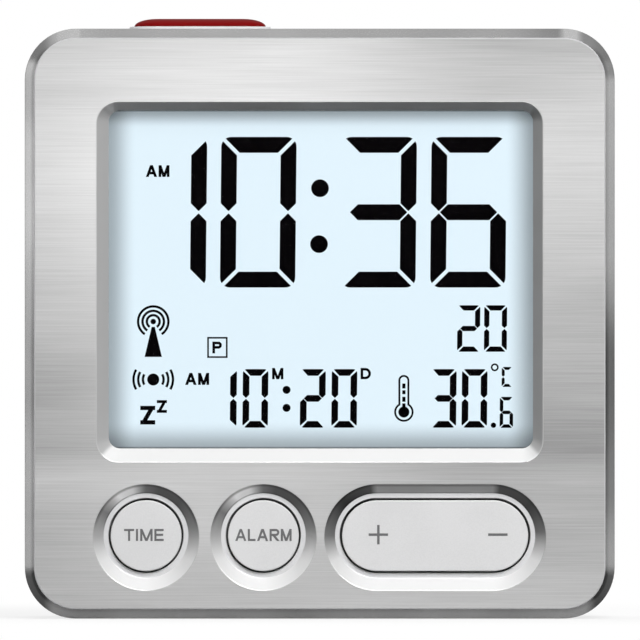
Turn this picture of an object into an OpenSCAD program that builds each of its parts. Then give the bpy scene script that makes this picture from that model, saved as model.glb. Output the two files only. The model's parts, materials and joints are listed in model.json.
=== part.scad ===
// Radio-controlled alarm clock: a square desk clock with a backlit display, two round keys, a
// plus/minus rocker and a snooze bar on top. The face looks along -Y, +Z is up, z = 0 is the base.

/* [Case] */
// Width of the case
case_w = 90; // [88:1:110]
// Height of the case without the snooze bar
case_h = 90; // [88:1:110]
// Depth from the face to the flat back
case_d = 38; // [36:0.5:48]
// Corner radius seen from the front
corner_r = 7.8; // [6:0.1:10]
// Wall thickness of both housings
wall = 2; // [1.6:0.1:2.4]
// Depth of the front half, from the face to the parting line
front_depth = 21; // [20:0.5:23]
// How far the rear edges draw in
rear_inset = 6; // [3:0.5:7]
// Length over which the rear edges round off
rear_round = 8; // [4:0.5:10]

/* [Front panel] */
// Thickness of the face plate
panel_t = 2.4; // [2.2:0.1:3]
// Chamfer round the rim
rim_chamfer = 1.5; // [0.5:0.1:1.8]

/* [Display window] */
// Distance from each side of the case to the window
window_side = 11; // [10.5:0.1:16]
// Distance from the top of the case down to the window
window_drop = 11.2; // [11:0.1:14]
// Height of the window's lower edge above the base
window_sill = 23.9; // [23.4:0.1:36]
// Corner radius of the window at the face
window_r = 3.3; // [2:0.1:5]
// Corner radius of the window at the lens
view_r = 1.7; // [0.5:0.1:3]
// Bevel width at the left
bevel_left = 1.85; // [0.5:0.05:3]
// Bevel width at the right
bevel_right = 1.5; // [0.5:0.05:3]
// Bevel width at the top
bevel_top = 1.3; // [0.5:0.05:3]
// Bevel width at the bottom
bevel_bottom = 2.1; // [0.5:0.05:3]

/* [Display stack] */
// Thickness of the clear lens
lens_t = 1.2; // [0.8:0.1:1.5]
// Thickness of each display glass
glass_t = 1.1; // [0.5:0.1:1.1]
// Height of the contact ledge below the rear glass
ledge_h = 3; // [2.4:0.1:3]
// Thickness of the light guide
guide_t = 2.7; // [2:0.1:3]
// Side of each backlight lamp
led_size = 1.4; // [1:0.1:1.6]

/* [Keys] */
// Radius of the round caps and of the rocker's ends
key_r = 5.4; // [4.5:0.1:5.6]
// Height of the key row above the base
key_z = 12.65; // [12.4:0.05:13]
// Place of the time key
time_x = -26.5; // [-27:0.1:-25.5]
// Place of the alarm key
alarm_x = -8.6; // [-9:0.1:-8]
// Place of the rocker's middle
rocker_x = 17.6; // [17.4:0.1:18]
// Length of the rocker
rocker_l = 28.4; // [24:0.1:28.6]
// Gap round each cap
key_gap = 0.28; // [0.24:0.01:0.4]
// Flat ring round the gap at the bottom of each well
well_ring = 0.8; // [0.4:0.1:1]
// Width of the well's bevel
well_bevel = 1.6; // [0.8:0.1:1.7]
// Depth of the wells
well_depth = 1.6; // [1:0.1:1.6]
// How much higher the bottom of a well lies than its mouth
well_lift = 0.25; // [0:0.05:0.5]
// Travel of the round keys
key_travel = 0.8; // [0.4:0.1:1]
// Tilt of the rocker to each side, in degrees
rocker_tilt = 3; // [1:0.5:3]

/* [Snooze bar] */
// Width of the snooze bar
snooze_w = 20.1; // [14:0.1:22]
// Depth of the snooze bar from front to back
snooze_l = 12; // [9:0.5:12]
// Place of the snooze bar across the top
snooze_x = -18.3; // [-19:0.1:-16]
// Distance from the face back to the middle of the snooze bar
snooze_back = 12; // [11.5:0.1:12.5]
// Height of the bar above the case
snooze_rise = 1.6; // [1:0.1:2.4]
// Travel of the snooze bar
snooze_travel = 0.9; // [0.4:0.1:0.9]

/* [Battery bay] */
// Diameter of a cell
cell_d = 14.5; // [13.5:0.1:14.5]
// Length of a cell with its nub
cell_l = 50.5; // [44:0.1:52]
// Length of the contact springs as fitted
spring_l = 7.5; // [6:0.1:8]
// Wire diameter of the contact springs
spring_wire = 0.8; // [0.6:0.05:0.9]
// Turns of each contact spring
spring_turns = 4; // [3:1:4]
// Height of the bay above the base
bay_z = 11.4; // [11:0.1:14]
// Thickness of the bay's walls
bay_wall = 1.5; // [1.2:0.1:2]
// Thickness of the door
door_t = 1.8; // [1.4:0.1:2]
// Radius of the door's hinge barrel
barrel_r = 1.2; // [1:0.05:1.3]
// Radius of the door's hinge pins
pin_r = 0.7; // [0.5:0.05:0.8]

/* [Boards and aerial] */
// Thickness of the main board
board_t = 1.6; // [1:0.1:1.6]
// Radius of the ferrite rod
rod_r = 4; // [3:0.1:4.5]
// Length of the ferrite rod
rod_l = 50; // [46:1:60]
// Length of the aerial winding
coil_l = 22; // [12:1:26]
// Thickness of the aerial winding
coil_t = 1.1; // [0.5:0.1:1.3]
// Radius of the buzzer disc
buzzer_r = 10; // [8:0.5:11]
// Radius of each sound hole
sound_r = 0.9; // [0.5:0.1:1.1]

/* [Screws] */
// Radius of the posts that take the case screws
post_r = 3.2; // [2.6:0.1:3.4]
// Shank radius of the case screws
screw_r = 1.2; // [1:0.05:1.4]
// Length of the case screws under the head
screw_l = 12; // [8:0.5:14]

/* [Hidden] */
$fn = 48;

// Clearances: thin films and flat seats, pressed parts, running pins, and moving parts
film_gap = 0.05;
seat_gap = 0.1;
run_gap = 0.05;
move_gap = 0.3;
over = 0.5;
skin = 0.01;

// Depth planes, from the face to the back
face_y = -case_d / 2;
rear_y = case_d / 2;
panel_back = face_y + panel_t;
web_back = panel_back + wall;
split_y = face_y + front_depth;
rear_inner = rear_y - wall;

// Window at the face and the clear view at the lens
win_x1 = case_w / 2 - window_side;
win_z1 = case_h - window_drop;
win_z0 = window_sill;
view_x0 = -win_x1 + bevel_left;
view_x1 = win_x1 - bevel_right;
view_z0 = win_z0 + bevel_bottom;
view_z1 = win_z1 - bevel_top;

// Display stack behind the window
lens_lap = 1.5;
sight_gap = 0.4;
frame_lip = 0.6;
lip_gap = 0.8;
polar_lap = 1.6;
polar_t = 0.2;
glass_lap = 2;
glass_below = 0.5;
guide_above = 0.7;
frame_wall = 1.1;
frame_r = 3;
frame_y = web_back + seat_gap;
polar_y = frame_y + frame_lip;
glass_y = polar_y + polar_t;
rear_glass_y = glass_y + glass_t;
guide_y = rear_glass_y + glass_t + film_gap;
sheet_y = guide_y + guide_t + film_gap;
sheet_t = 0.2;
board_y = sheet_y + sheet_t + seat_gap;
board_back = board_y + board_t;
glass_x0 = view_x0 - glass_lap;
glass_x1 = view_x1 + glass_lap;
glass_z1 = view_z1 + glass_lap;
rear_glass_z0 = view_z0 - glass_below;
glass_z0 = rear_glass_z0 - ledge_h;
guide_z0 = rear_glass_z0 + guide_above;
led_room = 2.6;
strip_in = 1;
guide_x0 = glass_x0 + led_room;
frame_x0 = glass_x0 - seat_gap - frame_wall;
frame_x1 = glass_x1 + seat_gap + frame_wall;
frame_z0 = glass_z0 - seat_gap - frame_wall;
frame_z1 = glass_z1 + seat_gap + frame_wall;
led_in = 14;
led_z = [view_z0 + led_in, view_z1 - led_in];

// Posts for the case screws, kept clear of the tongue of the rear half in the round corners
tongue_gap = 0.15;
tongue_t = 1.2;
tongue_l = 1.5;
line_w = 0.5;
line_d = 0.35;
tongue_in = wall + tongue_gap + tongue_t;
post_clear = 0.6;
post_step = 1;
post_in = max(tongue_in + post_r + post_clear,
    corner_r - (corner_r - tongue_in - post_r - move_gap) / sqrt(2));
post_xz = [for (s = [-1, 1], z = [post_in, case_h - post_in]) [s * (case_w / 2 - post_in), z]];
post_end = split_y + post_step - film_gap;
head_r = 2.6;
head_h = 1.8;
head_y = split_y + post_step + wall;
screw_well_r = head_r + move_gap;
screw_well_t = 1.2;
pilot_spare = 1;
head_edge = 0.5;
slot_w = 0.7;

// Main board and its three screws
board_hw = case_w / 2 - post_in - post_r - post_clear;
board_clear = 0.4;
board_z0 = wall + board_clear;
board_z1 = frame_z1;
board_post_r = 2.1;
board_screw_r = 0.8;
board_screw_l = 6;
board_head_r = 1.7;
board_head_h = 1.2;
board_hole_gap = 0.2;
board_hole_in = 3.3;
board_hole_up = 1.8;
tab_x = 14;
tab_hw = 6;
tab_drop = 4.6;
tab_top = 2.4;
tab_z = case_h - wall - tab_drop;
board_xz = [[-board_hw + board_hole_in, board_z0 + board_hole_up],
    [board_hw - board_hole_in, board_z0 + board_hole_up], [tab_x, tab_z]];

// Keys; a pressed cap ends level with the floor of its well
cap_edge = 0.15;
cap_wall = 1.2;
skirt_w = 0.8;
skirt_t = 1.1;
skirt_gap = 0.2;
stem_r = 2.4;
mat_t = 1;
dome_spare = 1;
dome_h = key_travel + dome_spare;
dome_r = 4.2;
dome_top_r = 2.6;
dome_wall = 0.6;
mat_hh = 5.8;
cap_y = face_y + well_depth - key_travel;
skirt_y = panel_back + skirt_gap;
dome_y = board_y - mat_t - dome_h;
stem_y = dome_y - film_gap;
well_floor_r = key_r + key_gap + well_ring;
well_r = well_floor_r + well_bevel;
rocker_half = rocker_l / 2 - key_r;
arm_out = 0.7;
rocker_arm = rocker_half + arm_out;
arm_r = 2;
pivot_in = 1.4;
pivot_y = panel_back + pivot_in;
pivot_r = 0.8;
pivot_l = 1.8;
rocker_skirt_y = panel_back + skirt_gap + (rocker_l / 2 + skirt_w) * sin(rocker_tilt);
ear_w = 4.4;
ear_t = 2;
ear_h = 1.4;
ear_y = web_back + ear_h;
ear_gap = 0.2;

// Snooze bar, its guides and its switch, from the top down
snooze_y = face_y + snooze_back;
snooze_r = 4;
snooze_gap = 0.25;
collar_h = 0.4;
collar_w = 0.5;
crown_w = 3.4;
crown_z = case_h + collar_h;
snooze_top = case_h + snooze_rise;
flange_w = 1.1;
flange_t = 1.2;
flange_z = case_h - wall - move_gap - flange_t;
snooze_stem = 1.2;
snooze_stem_z = flange_z - snooze_stem;
snooze_dome_z = snooze_stem_z - film_gap;
snooze_board_t = 1.2;
snooze_dome_h = snooze_travel + dome_spare;
snooze_board_top = snooze_dome_z - snooze_dome_h;
snooze_board_z = snooze_board_top - snooze_board_t;
rib_clear = 0.6;
rib_in = snooze_w / 2 + flange_w + rib_clear;
rib_t = 2.2;
rib_stop = 0.8;
groove = 1.2;
rib_below = 0.9;
rib_z = snooze_board_z - rib_below;

// Battery bay, cells and door
cell_r = cell_d / 2;
cell_gap = 0.25;
cell_apart = 0.2;
cell_pitch = cell_d + cell_apart;
nub_r = 2.75;
nub_l = 1.3;
contact_t = 0.4;
contact_s = 11.5;
tail_w = 3;
tail_l = 2.2;
bay_hw = (cell_l + spring_l + 2 * contact_t + seat_gap) / 2;
bay_h = cell_pitch + cell_d + 4 * cell_gap;
bay_z1 = bay_z + bay_h;
door_y = rear_y - door_t;
cell_y = door_y - move_gap - cell_r;
bay_floor = cell_y - cell_r - cell_gap;
lower_z = bay_z + bay_h / 2 - cell_pitch / 2;
upper_z = lower_z + cell_pitch;
cell_x0 = -bay_hw + contact_t + film_gap;
door_lap = 1.2;
door_gap = 0.25;
door_hw = bay_hw + door_lap;
door_z1 = bay_z1 + door_lap;
hinge_y = rear_y - barrel_r;
hinge_drop = 0.8;
hinge_z = bay_z - hinge_drop;
pin_l = 1.4;
hinge_block = 3;
hinge_hh = 1.6;
latch_w = 12;
latch_l = 9;
latch_slot = 0.8;
nib_h = 0.12;
scoop_r = 12;
cradle_x = 15;
cradle_t = 1.6;
cradle_h = 3;

// Contact springs: a cone of turns from the plate to the flat end of the cell
spring_base = 4.6;
spring_tip = 2.6;
curl_rings = 8;
spring_n = spring_turns * curl_rings;

// Aerial and sounder
rod_in = 5.5;
rod_drop = 13;
rod_y = split_y + rod_in;
rod_z = case_h - rod_drop;
saddle_in = 5;
saddle_x = rod_l / 2 - saddle_in;
saddle_t = 2.4;
saddle_side = 2;
saddle_hh = rod_r + saddle_side;
mouth = 0.94;
bobbin_t = 0.7;
flange_side = 1.2;
coil_in = rod_r + film_gap + bobbin_t;
coil_r = coil_in + coil_t;
bobbin_lip = 0.5;
buzzer_x = 0;
buzzer_apart = 3;
buzzer_z = bay_z1 + bay_wall + buzzer_r + buzzer_apart;
disc_t = 0.3;
ceramic_t = 0.25;
ceramic_r = buzzer_r * 0.7;
ring_t = 1.3;
ring_h = 2.4;
ledge_w = 1;
sound_room = 1;
disc_y = rear_inner - sound_room - disc_t;
sound_ring = 4.5;

// Parts on the back of the main board: [x, z] of each
blob_xz = [-10, 58];
blob_r = 7;
blob_h = 1.6;
blob_curve = (blob_r * blob_r + blob_h * blob_h) / (2 * blob_h);
chip_xz = [8, 62];
chip_w = 6;
chip_h = 4;
chip_t = 1.5;
chip_lift = 0.1;
chip_pitch = 1.27;
chip_leg = [0.4, 0.7, 1];
crystal_xz = [-2, 46];
crystal_r = 1;
crystal_l = 6;
crystal_lift = 0.1;
crystal_leg = [2.2, 1, 0.3];
crystal_pitch = 0.8;
sensor_xz = [26, 48];
sensor_r = 1.2;
sensor_leg = 3;
sensor_wire = 0.2;
lead_r = 0.45;
lead_rings = 12;
lead_rise = 6;
lead_out = 3;
pad_in = 2;
aerial_pad_x = 3;
aerial_pad_drop = 5;
snooze_pad_x = 4;
snooze_pad_drop = 5;
snooze_lead_in = 1.5;

// Helpers: shapes drawn in X and Z and given a depth in Y
module rrect(x0, z0, x1, z1, r) {
    translate([x0 + r, z0]) square([x1 - x0 - 2 * r, z1 - z0]);
    translate([x0, z0 + r]) square([x1 - x0, z1 - z0 - 2 * r]);
    for (x = [x0 + r, x1 - r], z = [z0 + r, z1 - r]) translate([x, z]) circle(r);
}
module slab(y0, y1) translate([0, y1, 0]) rotate([90, 0, 0]) linear_extrude(y1 - y0) children();
module block(x0, x1, y0, y1, z0, z1) translate([x0, y0, z0]) cube([x1 - x0, y1 - y0, z1 - z0]);
module peg(x, z, y0, y1, r) translate([x, y0, z]) rotate([-90, 0, 0]) cylinder(h = y1 - y0, r = r);
module axle(x0, x1, y, z, r) translate([x0, y, z]) rotate([0, 90, 0]) cylinder(h = x1 - x0, r = r);
module turned(x, z) translate([x, 0, z]) rotate([-90, 0, 0]) rotate_extrude() children();
module pill(x, z, half, r) {
    translate([x - half, z - r]) square([2 * half, 2 * r]);
    for (s = [-1, 1]) translate([x + s * half, z]) circle(r);
}
module case_outline(inset) rrect(-case_w / 2 + inset, inset, case_w / 2 - inset, case_h - inset,
    max(corner_r - inset, 0.8));

// A tube of flat sides along a list of points, ref is a direction that no stretch follows
function unit(v) = v / norm(v);
function along(p, i) = unit(p[min(i + 1, len(p) - 1)] - p[max(i - 1, 0)]);
function tube_ring(p, i, r, sides, ref) = let (t = along(p, i), u = unit(cross(t, ref)), v = cross(t, u))
    [for (k = [0:sides - 1]) p[i] + r * (cos(360 * k / sides) * u + sin(360 * k / sides) * v)];
module tube(p, r, sides, ref) {
    n = len(p);
    points = [for (i = [0:n - 1]) each tube_ring(p, i, r, sides, ref)];
    sleeve = [for (i = [0:n - 2], k = [0:sides - 1]) let (a = i * sides + k, b = i * sides + (k + 1) % sides)
        each [[a, a + sides, b], [b, a + sides, b + sides]]];
    caps = [for (k = [1:sides - 2]) each [[0, k, k + 1],
        [(n - 1) * sides, (n - 1) * sides + k + 1, (n - 1) * sides + k]]];
    polyhedron(points, concat(sleeve, caps));
}
function bezier(a, b, c, d) = [for (i = [0:lead_rings]) let (t = i / lead_rings, s = 1 - t)
    s * s * s * a + 3 * s * s * t * b + 3 * s * t * t * c + t * t * t * d];

// Face plate: chamfered rim, bevelled window, dished wells and the holes for the caps
module window_cut(t) {
    r = window_r + (view_r - window_r) * t;
    rrect(-win_x1 + bevel_left * t, win_z0 + bevel_bottom * t, win_x1 - bevel_right * t,
        win_z1 - bevel_top * t, r);
}
module well(x, half) hull() for (t = [-0.1, 1], s = [-1, 1])
    peg(x + s * half, key_z - well_lift * (1 - t), face_y + well_depth * t - skin,
        face_y + well_depth * t, well_r - well_bevel * t);
module front_panel() color("silver") difference() {
    hull() {
        slab(face_y + rim_chamfer, panel_back) case_outline(0);
        slab(face_y, face_y + skin) case_outline(rim_chamfer);
    }
    hull() for (t = [-0.1, 1.1])
        slab(face_y + panel_t * t - skin, face_y + panel_t * t) window_cut(t);
    for (x = [time_x, alarm_x]) {
        well(x, 0);
        peg(x, key_z, face_y, panel_back + over, key_r + key_gap);
    }
    well(rocker_x, rocker_half);
    slab(face_y, panel_back + over) pill(rocker_x, key_z, rocker_half, key_r + key_gap);
}

// Front half of the case: a tray with the lens seat, key holes, rocker bearings, posts and snooze guides
module snooze_outline(grow) rrect(snooze_x - snooze_w / 2 - grow, snooze_y - snooze_l / 2 - grow,
    snooze_x + snooze_w / 2 + grow, snooze_y + snooze_l / 2 + grow, snooze_r + grow);
module snooze_layer(z0, z1, grow) translate([0, 0, z0]) linear_extrude(z1 - z0) snooze_outline(grow);
module front_housing() color("gainsboro") difference() {
    union() {
        difference() {
            slab(panel_back, split_y) case_outline(0);
            slab(web_back, split_y + over) case_outline(wall);
        }
        for (p = post_xz) peg(p.x, p.y, web_back - over, post_end, post_r);
        for (p = board_xz) peg(p.x, p.y, web_back - over, board_y, board_post_r);
        for (s = [-1, 1]) translate([0, 0, key_z + s * (key_r + skirt_w + move_gap + ear_t / 2)])
            block(rocker_x - ear_w / 2, rocker_x + ear_w / 2, web_back - over, ear_y, -ear_t / 2, ear_t / 2);
        snooze_layer(case_h - over, case_h + collar_h, snooze_gap + collar_w);
        for (s = [-1, 1]) translate([snooze_x + s * (rib_in + rib_t / 2), 0, 0])
            block(-rib_t / 2, rib_t / 2, snooze_y - snooze_l / 2, snooze_y + snooze_l / 2, rib_z,
                case_h - wall + over);
    }
    slab(panel_back - over, panel_back + lens_t + seat_gap) rrect(view_x0 - lens_lap - seat_gap,
        view_z0 - lens_lap - seat_gap, view_x1 + lens_lap + seat_gap, view_z1 + lens_lap + seat_gap, view_r);
    slab(panel_back, web_back + over) rrect(view_x0 - sight_gap, view_z0 - sight_gap,
        view_x1 + sight_gap, view_z1 + sight_gap, view_r);
    for (x = [time_x, alarm_x])
        peg(x, key_z, panel_back - over, web_back + over, key_r + skirt_w + move_gap);
    slab(panel_back - over, web_back + over) pill(rocker_x, key_z, rocker_half, key_r + skirt_w + move_gap);
    for (s = [-1, 1]) translate([rocker_x, pivot_y, key_z + s * (key_r + skirt_w + pivot_l / 2)]) {
        cylinder(h = pivot_l + 2 * ear_gap, r = pivot_r + run_gap, center = true);
        block(-pivot_r * 0.8, pivot_r * 0.8, 0, ear_y - pivot_y + over,
            -pivot_l / 2 - ear_gap, pivot_l / 2 + ear_gap);
    }
    for (p = post_xz) peg(p.x, p.y, head_y - screw_l - pilot_spare, post_end + over, screw_r + run_gap);
    for (p = board_xz)
        peg(p.x, p.y, board_back - board_screw_l - pilot_spare, board_y + over, board_screw_r + run_gap);
    snooze_layer(case_h - wall - over, case_h + collar_h + over, snooze_gap);
    block(snooze_x - rib_in - groove, snooze_x + rib_in + groove, snooze_y - snooze_l / 2 + rib_stop,
        snooze_y + snooze_l / 2 + over, snooze_board_z - seat_gap, snooze_board_top + seat_gap);
}

// Rear half: a rounded shell with its tongue and shadow line, the battery bay, screw wells, aerial
// saddles and sounder seat
module rear_form(inset, y0, y1) hull() {
    slab(y0, y1 - rear_round + inset) case_outline(inset);
    for (a = [10:10:90]) translate([0, y1 - (rear_round - inset) * (1 - sin(a)), 0])
        slab(-skin, 0) case_outline(inset + (rear_inset - inset / 2) * (1 - cos(a)));
}
module rear_fittings() {
    for (p = post_xz) peg(p.x, p.y, split_y + post_step, rear_y, screw_well_r + screw_well_t);
    for (s = [-1, 1]) block(s * saddle_x - saddle_t / 2, s * saddle_x + saddle_t / 2, rod_y - rod_r / 2,
        rear_inner + over, rod_z - saddle_hh, rod_z + saddle_hh);
    peg(buzzer_x, buzzer_z, rear_inner - ring_h, rear_inner + over, buzzer_r + seat_gap + ring_t);
    for (s = [-1, 1]) translate([s * (door_hw + door_gap + hinge_block / 2), 0, 0])
        block(-hinge_block / 2, hinge_block / 2, hinge_y - hinge_hh, rear_y - over,
            hinge_z - hinge_hh, hinge_z + hinge_hh);
}
module rear_housing() color("gainsboro") difference() {
    union() {
        difference() {
            rear_form(0, split_y, rear_y);
            rear_form(wall, split_y - over, rear_inner);
        }
        intersection() {
            rear_form(0, split_y, rear_y);
            rear_fittings();
        }
        difference() {
            union() {
                slab(split_y - tongue_l, split_y + wall) case_outline(wall + tongue_gap);
                slab(split_y, split_y + wall) case_outline(wall / 2);
            }
            slab(split_y - tongue_l - over, split_y + wall + over) case_outline(tongue_in);
        }
        block(-bay_hw - bay_wall, bay_hw + bay_wall, bay_floor - bay_wall, rear_y - over,
            bay_z - bay_wall, bay_z1 + bay_wall);
    }
    difference() {
        block(-bay_hw, bay_hw, bay_floor, rear_y + over, bay_z, bay_z1);
        for (s = [-1, 1]) difference() {
            block(s * cradle_x - cradle_t / 2, s * cradle_x + cradle_t / 2, bay_floor - over,
                bay_floor + cradle_h, bay_z - over, bay_z1 + over);
            for (z = [lower_z, upper_z])
                axle(-bay_hw, bay_hw, cell_y, z, cell_r + cell_gap / 2);
        }
    }
    block(-door_hw - door_gap, door_hw + door_gap, door_y, rear_y + over,
        hinge_z - barrel_r - door_gap, door_z1 + door_gap);
    axle(-door_hw - door_gap, door_hw + door_gap, hinge_y, hinge_z, barrel_r + door_gap);
    axle(-door_hw - door_gap - pin_l, door_hw + door_gap + pin_l, hinge_y, hinge_z, pin_r + run_gap);
    difference() {
        slab(split_y - skin, split_y + line_w) case_outline(-over);
        slab(split_y - over, split_y + line_w + over) case_outline(line_d);
    }
    for (z = [lower_z, upper_z])
        block(-bay_hw - bay_wall - over, -bay_hw + over, cell_y - tail_w / 2 - seat_gap,
            cell_y + tail_w / 2 + seat_gap, z - contact_t / 2 - seat_gap, z + contact_t / 2 + seat_gap);
    for (p = post_xz) {
        peg(p.x, p.y, head_y, rear_y + over, screw_well_r);
        peg(p.x, p.y, split_y, head_y + over, screw_r + move_gap);
    }
    for (s = [-1, 1]) {
        axle(s * saddle_x - saddle_t, s * saddle_x + saddle_t, rod_y, rod_z, rod_r + seat_gap);
        block(s * saddle_x - saddle_t, s * saddle_x + saddle_t, rod_y - rod_r, rod_y,
            rod_z - rod_r * mouth, rod_z + rod_r * mouth);
    }
    peg(buzzer_x, buzzer_z, rear_inner - ring_h - over, disc_y + disc_t, buzzer_r + seat_gap);
    peg(buzzer_x, buzzer_z, rear_inner - ring_h - over, rear_inner, buzzer_r - ledge_w);
    peg(buzzer_x, buzzer_z, rear_inner - over, rear_y + over, sound_r);
    for (a = [0:60:300]) peg(buzzer_x + sound_ring * cos(a), buzzer_z + sound_ring * sin(a),
        rear_inner - over, rear_y + over, sound_r);
}

// Battery door: a plate on a barrel with two stub pins, a spring tongue at the top and a thumb scoop
module battery_door() color("gainsboro") difference() {
    union() {
        block(-door_hw, door_hw, door_y, rear_y, hinge_z, door_z1);
        axle(-door_hw, door_hw, hinge_y, hinge_z, barrel_r);
        axle(-door_hw - pin_l, door_hw + pin_l, hinge_y, hinge_z, pin_r);
        block(-latch_w / 3, latch_w / 3, door_y, door_y + door_t / 2, door_z1 - over, door_z1 + nib_h);
    }
    for (s = [-1, 1]) translate([s * latch_w / 2, 0, 0]) block(-latch_slot / 2, latch_slot / 2,
        door_y - over, rear_y + over, door_z1 - latch_l, door_z1 + over);
    translate([0, rear_y + scoop_r - door_t / 2, door_z1 - latch_l / 2]) sphere(scoop_r);
}

// Display: lens, film, two glasses with a contact ledge, light guide, lamps, sheet, frame and strip
module window_lens() color("white", 0.3) slab(panel_back, panel_back + lens_t)
    rrect(view_x0 - lens_lap, view_z0 - lens_lap, view_x1 + lens_lap, view_z1 + lens_lap, view_r);
module lcd_polarizer() color("lightcyan") block(view_x0 - polar_lap, view_x1 + polar_lap, polar_y, glass_y,
    view_z0 - polar_lap, view_z1 + polar_lap);
module lcd_front_glass() color("lightblue", 0.5)
    block(glass_x0, glass_x1, glass_y, rear_glass_y, glass_z0, glass_z1);
module lcd_rear_glass() color("lightblue", 0.5)
    block(glass_x0, glass_x1, rear_glass_y, rear_glass_y + glass_t, rear_glass_z0, glass_z1);
module light_guide() color("azure", 0.6)
    block(guide_x0, glass_x1, guide_y, guide_y + guide_t, guide_z0, glass_z1);
module reflector_sheet() color("white")
    block(guide_x0, glass_x1, sheet_y, sheet_y + sheet_t, guide_z0, glass_z1);
module backlight_leds() color("ivory") for (z = led_z)
    block(guide_x0 - seat_gap - led_size, guide_x0 - seat_gap, board_y - led_size * 1.5, board_y,
        z - led_size, z + led_size);
module lcd_frame() color("whitesmoke") {
    difference() {
        slab(frame_y, board_y - film_gap) rrect(frame_x0, frame_z0, frame_x1, frame_z1, frame_r);
        slab(frame_y - over, polar_y + over) rrect(view_x0 - lip_gap, view_z0 - lip_gap, view_x1 + lip_gap,
            view_z1 + lip_gap, view_r);
        block(glass_x0 - seat_gap, glass_x1 + seat_gap, polar_y, board_y + over,
            glass_z0 - seat_gap, glass_z1 + seat_gap);
    }
    block(glass_x0 - seat_gap, glass_x1 + seat_gap, guide_y, board_y - film_gap,
        rear_glass_z0, guide_z0 - seat_gap);
}
module zebra_strip() color("dimgray") block(view_x0 + strip_in, view_x1 - strip_in, rear_glass_y, board_y,
    glass_z0 + move_gap, rear_glass_z0 - move_gap);

// Main board with a screw tab at the top, and the parts on its back
module main_board() color("seagreen") difference() {
    union() {
        block(-board_hw, board_hw, board_y, board_back, board_z0, board_z1);
        block(tab_x - tab_hw, tab_x + tab_hw, board_y, board_back, board_z1 - over, tab_z + tab_top);
    }
    for (p = board_xz) peg(p.x, p.y, board_y - over, board_back + over, board_screw_r + board_hole_gap);
}
module controller_blob() color("black") turned(blob_xz.x, blob_xz.y) intersection() {
    translate([0, board_back + blob_h - blob_curve]) circle(blob_curve, $fn = 240);
    translate([0, board_back]) square([blob_r, blob_h]);
}
module receiver_chip() color("dimgray") {
    block(chip_xz.x - chip_w / 2, chip_xz.x + chip_w / 2, board_back + chip_lift, board_back + chip_t,
        chip_xz.y - chip_h / 2, chip_xz.y + chip_h / 2);
    for (k = [-1.5:1:1.5], s = [-1, 1])
        translate([chip_xz.x + k * chip_pitch, board_back + chip_leg.y / 2,
            chip_xz.y + s * (chip_h + chip_leg.x) / 2]) cube(chip_leg, center = true);
}
module quartz_crystal() color("silver") {
    axle(crystal_xz.x, crystal_xz.x + crystal_l, board_back + crystal_r + crystal_lift, crystal_xz.y,
        crystal_r);
    for (s = [-1, 1])
        translate([crystal_xz.x, board_back + crystal_leg.y / 2, crystal_xz.y + s * crystal_pitch / 2])
            cube(crystal_leg, center = true);
}
module temperature_sensor() color("darkslategray") {
    translate([sensor_xz.x, board_back + sensor_leg + sensor_r, sensor_xz.y]) sphere(sensor_r);
    for (s = [-1, 1]) peg(sensor_xz.x + s * sensor_r / 2, sensor_xz.y, board_back,
        board_back + sensor_leg + sensor_r, sensor_wire);
}

// Silicone domes: the ring-shaped wall of one dome in profile, radius against height
module dome_profile(h) polygon([[0, h], [dome_top_r, h], [dome_r, 0], [dome_r - dome_wall, 0],
    [dome_top_r - dome_wall / 2, h - dome_wall * 1.4], [0, h - dome_wall * 1.4]]);
module keypad_mat() color("slategray") {
    key_x = [time_x, alarm_x, rocker_x - rocker_arm, rocker_x + rocker_arm];
    difference() {
        block(time_x - mat_hh, rocker_x + rocker_arm + mat_hh, board_y - mat_t, board_y,
            key_z - mat_hh, key_z + mat_hh);
        for (x = key_x) peg(x, key_z, board_y - mat_t - over, board_y + over, dome_r - dome_wall);
    }
    for (x = key_x) translate([0, board_y - mat_t, 0]) mirror([0, 1, 0])
        turned(x, key_z) dome_profile(dome_h);
}

// Round key: a hollow cap with a rounded edge, a skirt behind the panel and a stem down to its dome
module key_cap(x) turned(x, key_z) difference() {
    union() {
        translate([0, cap_y + cap_edge]) square([key_r, skirt_y - cap_y]);
        translate([0, cap_y]) square([key_r - cap_edge, cap_edge * 2]);
        translate([key_r - cap_edge, cap_y + cap_edge]) circle(cap_edge);
        translate([0, skirt_y]) square([key_r + skirt_w, skirt_t]);
        translate([0, skirt_y]) square([stem_r, stem_y - skirt_y]);
    }
    translate([stem_r, cap_y + cap_wall]) square([key_r - cap_wall - stem_r, skirt_y + skirt_t - cap_y]);
}
module time_button() color("lightgray") key_cap(time_x);
module alarm_button() color("lightgray") key_cap(alarm_x);

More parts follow.
